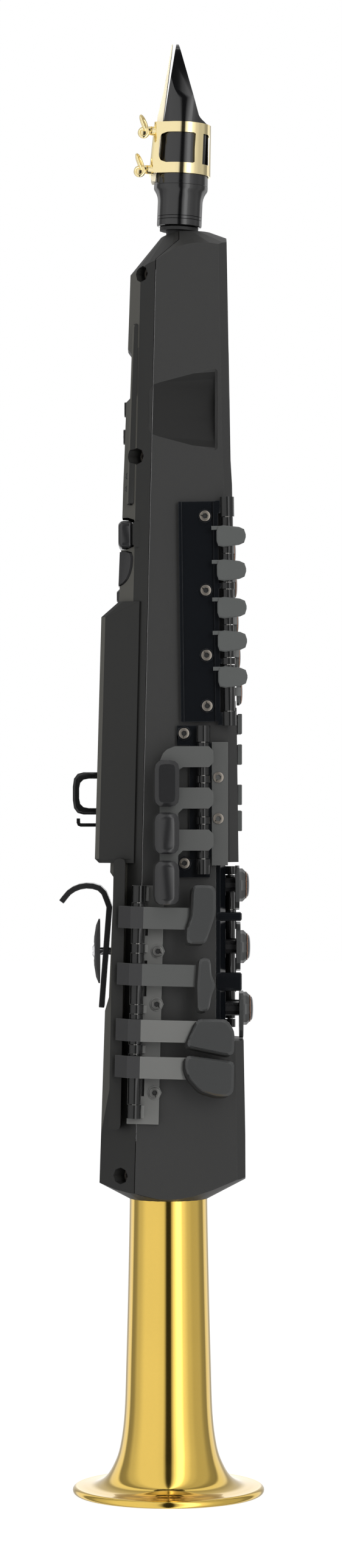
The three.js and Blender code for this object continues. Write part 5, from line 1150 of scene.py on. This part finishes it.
def add_wing_screw(node):
    height, reach = screw_ends[node]
    piece = lathe(node + "_form", stem_outline, stem_steps, "ligature")
    stand_on(piece, stem_start, (-1, 0, 0))
    upper = add_lobe(*upper_lobe)
    lower = add_lobe(*lower_lobe)
    clear_selection()
    for part in (upper, lower, piece):
        part.select_set(True)
    bpy.context.view_layer.objects.active = piece
    bpy.ops.object.join()
    end = Matrix.Translation(Vector(screw_point(reach, height)) * MM)
    piece.data.transform(mouth_place @ (end @ Matrix.Rotation(screw_turn, 4, "Z")))
    finish_with(piece, "ligature")
    smooth(piece, angle=40)
    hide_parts(node)
    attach(piece, nodes[node]["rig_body"])


# Seat of the octave key, and the panel over the side keys' hinge, in millimetres

seat_outline = [(-15.1, 456.2), (-16.1, 456.2), (-16.8, 467.8), (-15.1, 467.8)]
seat_half_width = 10
cheek_outline = [
    (-15.8, 455.8), (-11, 455.8), (-11, 468.5), (-15.8, 468.5), (-17.3, 467.3), (-17.3, 457.2),
]
cheek_sides = {"octave_key_cheek_right": (-17.7, -16.95), "octave_key_cheek_left": (16.95, 17.7)}
cover_outline = [(20.6, 303.5), (28.4, 303.5), (28.4, 362.5), (20.6, 362.5)]
cover_sides = (-24.35, -23.6)


def add_octave_seat():
    """The rest that the pressed octave key comes down on, and a low cheek on each side of it."""
    # The seat takes the darker, glossless finish, painted shade in the opening.
    seat = side_prism("octave_key_seat", seat_outline, -seat_half_width, seat_half_width, "shaded_cavity")
    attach(seat, "instrument")
    for name, (low, high) in cheek_sides.items():
        cheek = side_prism(name, cheek_outline, low, high, "rear")
        round_edges(cheek, width=0.0002, angle=30)
        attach(cheek, "instrument")


def add_side_cover():
    """The satin panel in front of the side keys' hinge."""
    cover = side_prism("side_key_cover", cover_outline, *cover_sides, "arm")
    round_edges(cover, width=0.0002, angle=30)
    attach(cover, "instrument")


# Screws on the plates and in the wells of the body

RIGHT = (0, -1, 0)
LEFT = (0, 1, 0)

# The foot of each leaning stack as X and Z in millimetres, and its lean in degrees
left_stack = ((29.2, 372.3), -0.71)
lower_stack = ((-16.6, 180), 1.36)


def on_stack(stack, x, y, z):
    """A place on a stack that leans with the body, from its own height and reach."""
    (foot_x, foot_z), degrees = stack
    lean = math.radians(degrees)
    return (foot_x + x * math.cos(lean) + z * math.sin(lean), y,
            foot_z - x * math.sin(lean) + z * math.cos(lean))


# Places of the screws in millimetres, each with the way that the screw faces
side_places = [(7.6, 304.6), (23.8, 325.9), (23.8, 345.6), (7.4, 366.6)]
left_screws = [(on_stack(left_stack, -10.6, -24.6, z), RIGHT) for z in (7.5, 31.7, 62.7, 98.2)]
side_screws = [((x, -24.0, z), RIGHT) for x, z in side_places]
lower_screws = [(on_stack(lower_stack, 9.6, -24.0, z), RIGHT) for z in (15.2, 57.5, 82.8)]
table_screws = [((18.6, 24.0, z), LEFT) for z in (317.5, 348, 378.5)]
palm_screws = [((15, 24.0, z), LEFT) for z in (486.5, 522, 559)]
well_heights = (587, 499.5, 154.5)
turn_between_screws = 0.4


def well_floor(height, side):
    """The floor of a screw's well in the body, and the way that the screw faces."""
    body_foot, body_length = 142.4, 466.1
    ridge_at_foot, ridge_rise = -23.3, 10.4
    well_depth, well_side = 4.1, 13.3
    ridge = ridge_at_foot + ridge_rise * (height - body_foot) / body_length
    return (ridge + well_depth, side * well_side, height), (-0.82, side * 0.57, 0)


def add_screws():
    pattern = model_socket_screw()
    well_screws = [well_floor(z, side) for z in well_heights for side in (-1, 1)]
    places = left_screws + side_screws + lower_screws + table_screws + palm_screws + well_screws
    for i, (place, direction) in enumerate(places):
        twin = copy_of(pattern, "socket_screw_%02d" % (i + 1))
        screw = stand_on(twin, place, direction, turn_between_screws * i)
        if (place, direction) in lower_screws:
            screw.data.materials[0] = finishes["dark_screw"]
        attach(screw, "instrument")
    bpy.data.objects.remove(pattern)


# Pearls on the finger keys

pearl_steps = 40
left_pearl_radius, left_pearl_lift = 4.9, 0.8
right_pearl_radius, right_pearl_lift = 5.9, 1.6
left_pearl_side = -3

# Each key with the reach of its pearl's top and its height, for the left hand along its own stack
left_pearls = [("g_key", 6.6, 14.2), ("a_key", 5.9, 31.4), ("bis_key", 5.2, 47.9), ("b_key", 4.7, 65.6),
               ("front_f_key", 4.2, 81.6)]
right_pearls = [("d_key", 40.8, 234), ("e_key", 39.4, 263.8), ("f_key", 38.9, 293.6)]


def add_pearl(key, place, radius, lift, number):
    rim_outline = [
        (radius, -lift - 0.1), (radius + 0.55, -lift + 0.05), (radius + 0.65, -lift + 0.2),
        (radius + 0.35, -lift + 0.36), (radius - 0.05, -lift + 0.3), (radius - 0.1, -lift - 0.1),
        (radius, -lift - 0.1),
    ]
    dome_outline = [
        (radius - 0.05, -lift), (radius - 0.15, -lift * 0.5), (radius * 0.8, -lift * 0.12),
        (radius * 0.45, 0.12), (0, 0.2),
    ]
    rim = lathe("pearl_rim_%02d" % number, rim_outline, pearl_steps, "pearl_rim")
    dome = lathe("pearl_%02d" % number, rounded(dome_outline, steps=4), pearl_steps, "pearl")
    for piece in (rim, dome):
        smooth(piece, angle=40)
        stand_on(piece, place, (1, 0, 0))
        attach(piece, key)


def add_pearls():
    for i, (key, reach, height) in enumerate(left_pearls):
        place = on_stack(left_stack, reach, left_pearl_side, height)
        add_pearl(key, place, left_pearl_radius, left_pearl_lift, i + 1)
    for i, (key, reach, height) in enumerate(right_pearls):
        number = len(left_pearls) + i + 1
        add_pearl(key, (reach, 0, height), right_pearl_radius, right_pearl_lift, number)


# Marks on the volume buttons

mark_round = 0.05

# Each bar of the marks with its low and high corners in millimetres and its button
mark_bars = {
    "minus_mark": ((-21.86, -1.7, 509.65), (-21.7, 1.7, 510.35), "volume_down_button"),
    "plus_mark_across": ((-21.36, -1.7, 522.85), (-21.2, 1.7, 523.55), "volume_up_button"),
    "plus_mark_upper": ((-21.36, -0.35, 523.6), (-21.2, 0.35, 524.9), "volume_up_button"),
    "plus_mark_lower": ((-21.36, -0.35, 521.5), (-21.2, 0.35, 522.8), "volume_up_button"),
}


def add_bar(name, low, high, body):
    clear_selection()
    bpy.ops.mesh.primitive_cube_add(size=1)
    piece = bpy.context.object
    piece.name = name
    piece.scale = [(b - a) * MM for a, b in zip(low, high)]
    piece.location = [(a + b) / 2 * MM for a, b in zip(low, high)]
    make_active(piece)
    bpy.ops.object.transform_apply(location=True, rotation=True, scale=True)
    finish_with(piece, "mark")
    round_edges(piece, width=mark_round * MM, angle=60)
    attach(piece, body)


def add_marks():
    for name, (low, high, button) in mark_bars.items():
        add_bar(name, low, high, button)


# The whole scene

add_camera()
add_world()
add_floor()
for name, (place, target, size, power) in lamps.items():
    add_lamp(name, place, target, size, power)
forms = refine_all()
for hinge, (left, down) in shade_skirt_places.items():
    plate, keys, touches = hinged_pieces[hinge]
    for node in touches:
        add_shade_skirt(node, forms[node], left, down)
add_bell()
add_mouthpiece()
add_ligature()
for node in screw_ends:
    add_wing_screw(node)
add_octave_seat()
add_side_cover()
add_screws()
add_pearls()
add_marks()

bpy.context.scene.view_settings.view_transform = "Standard"
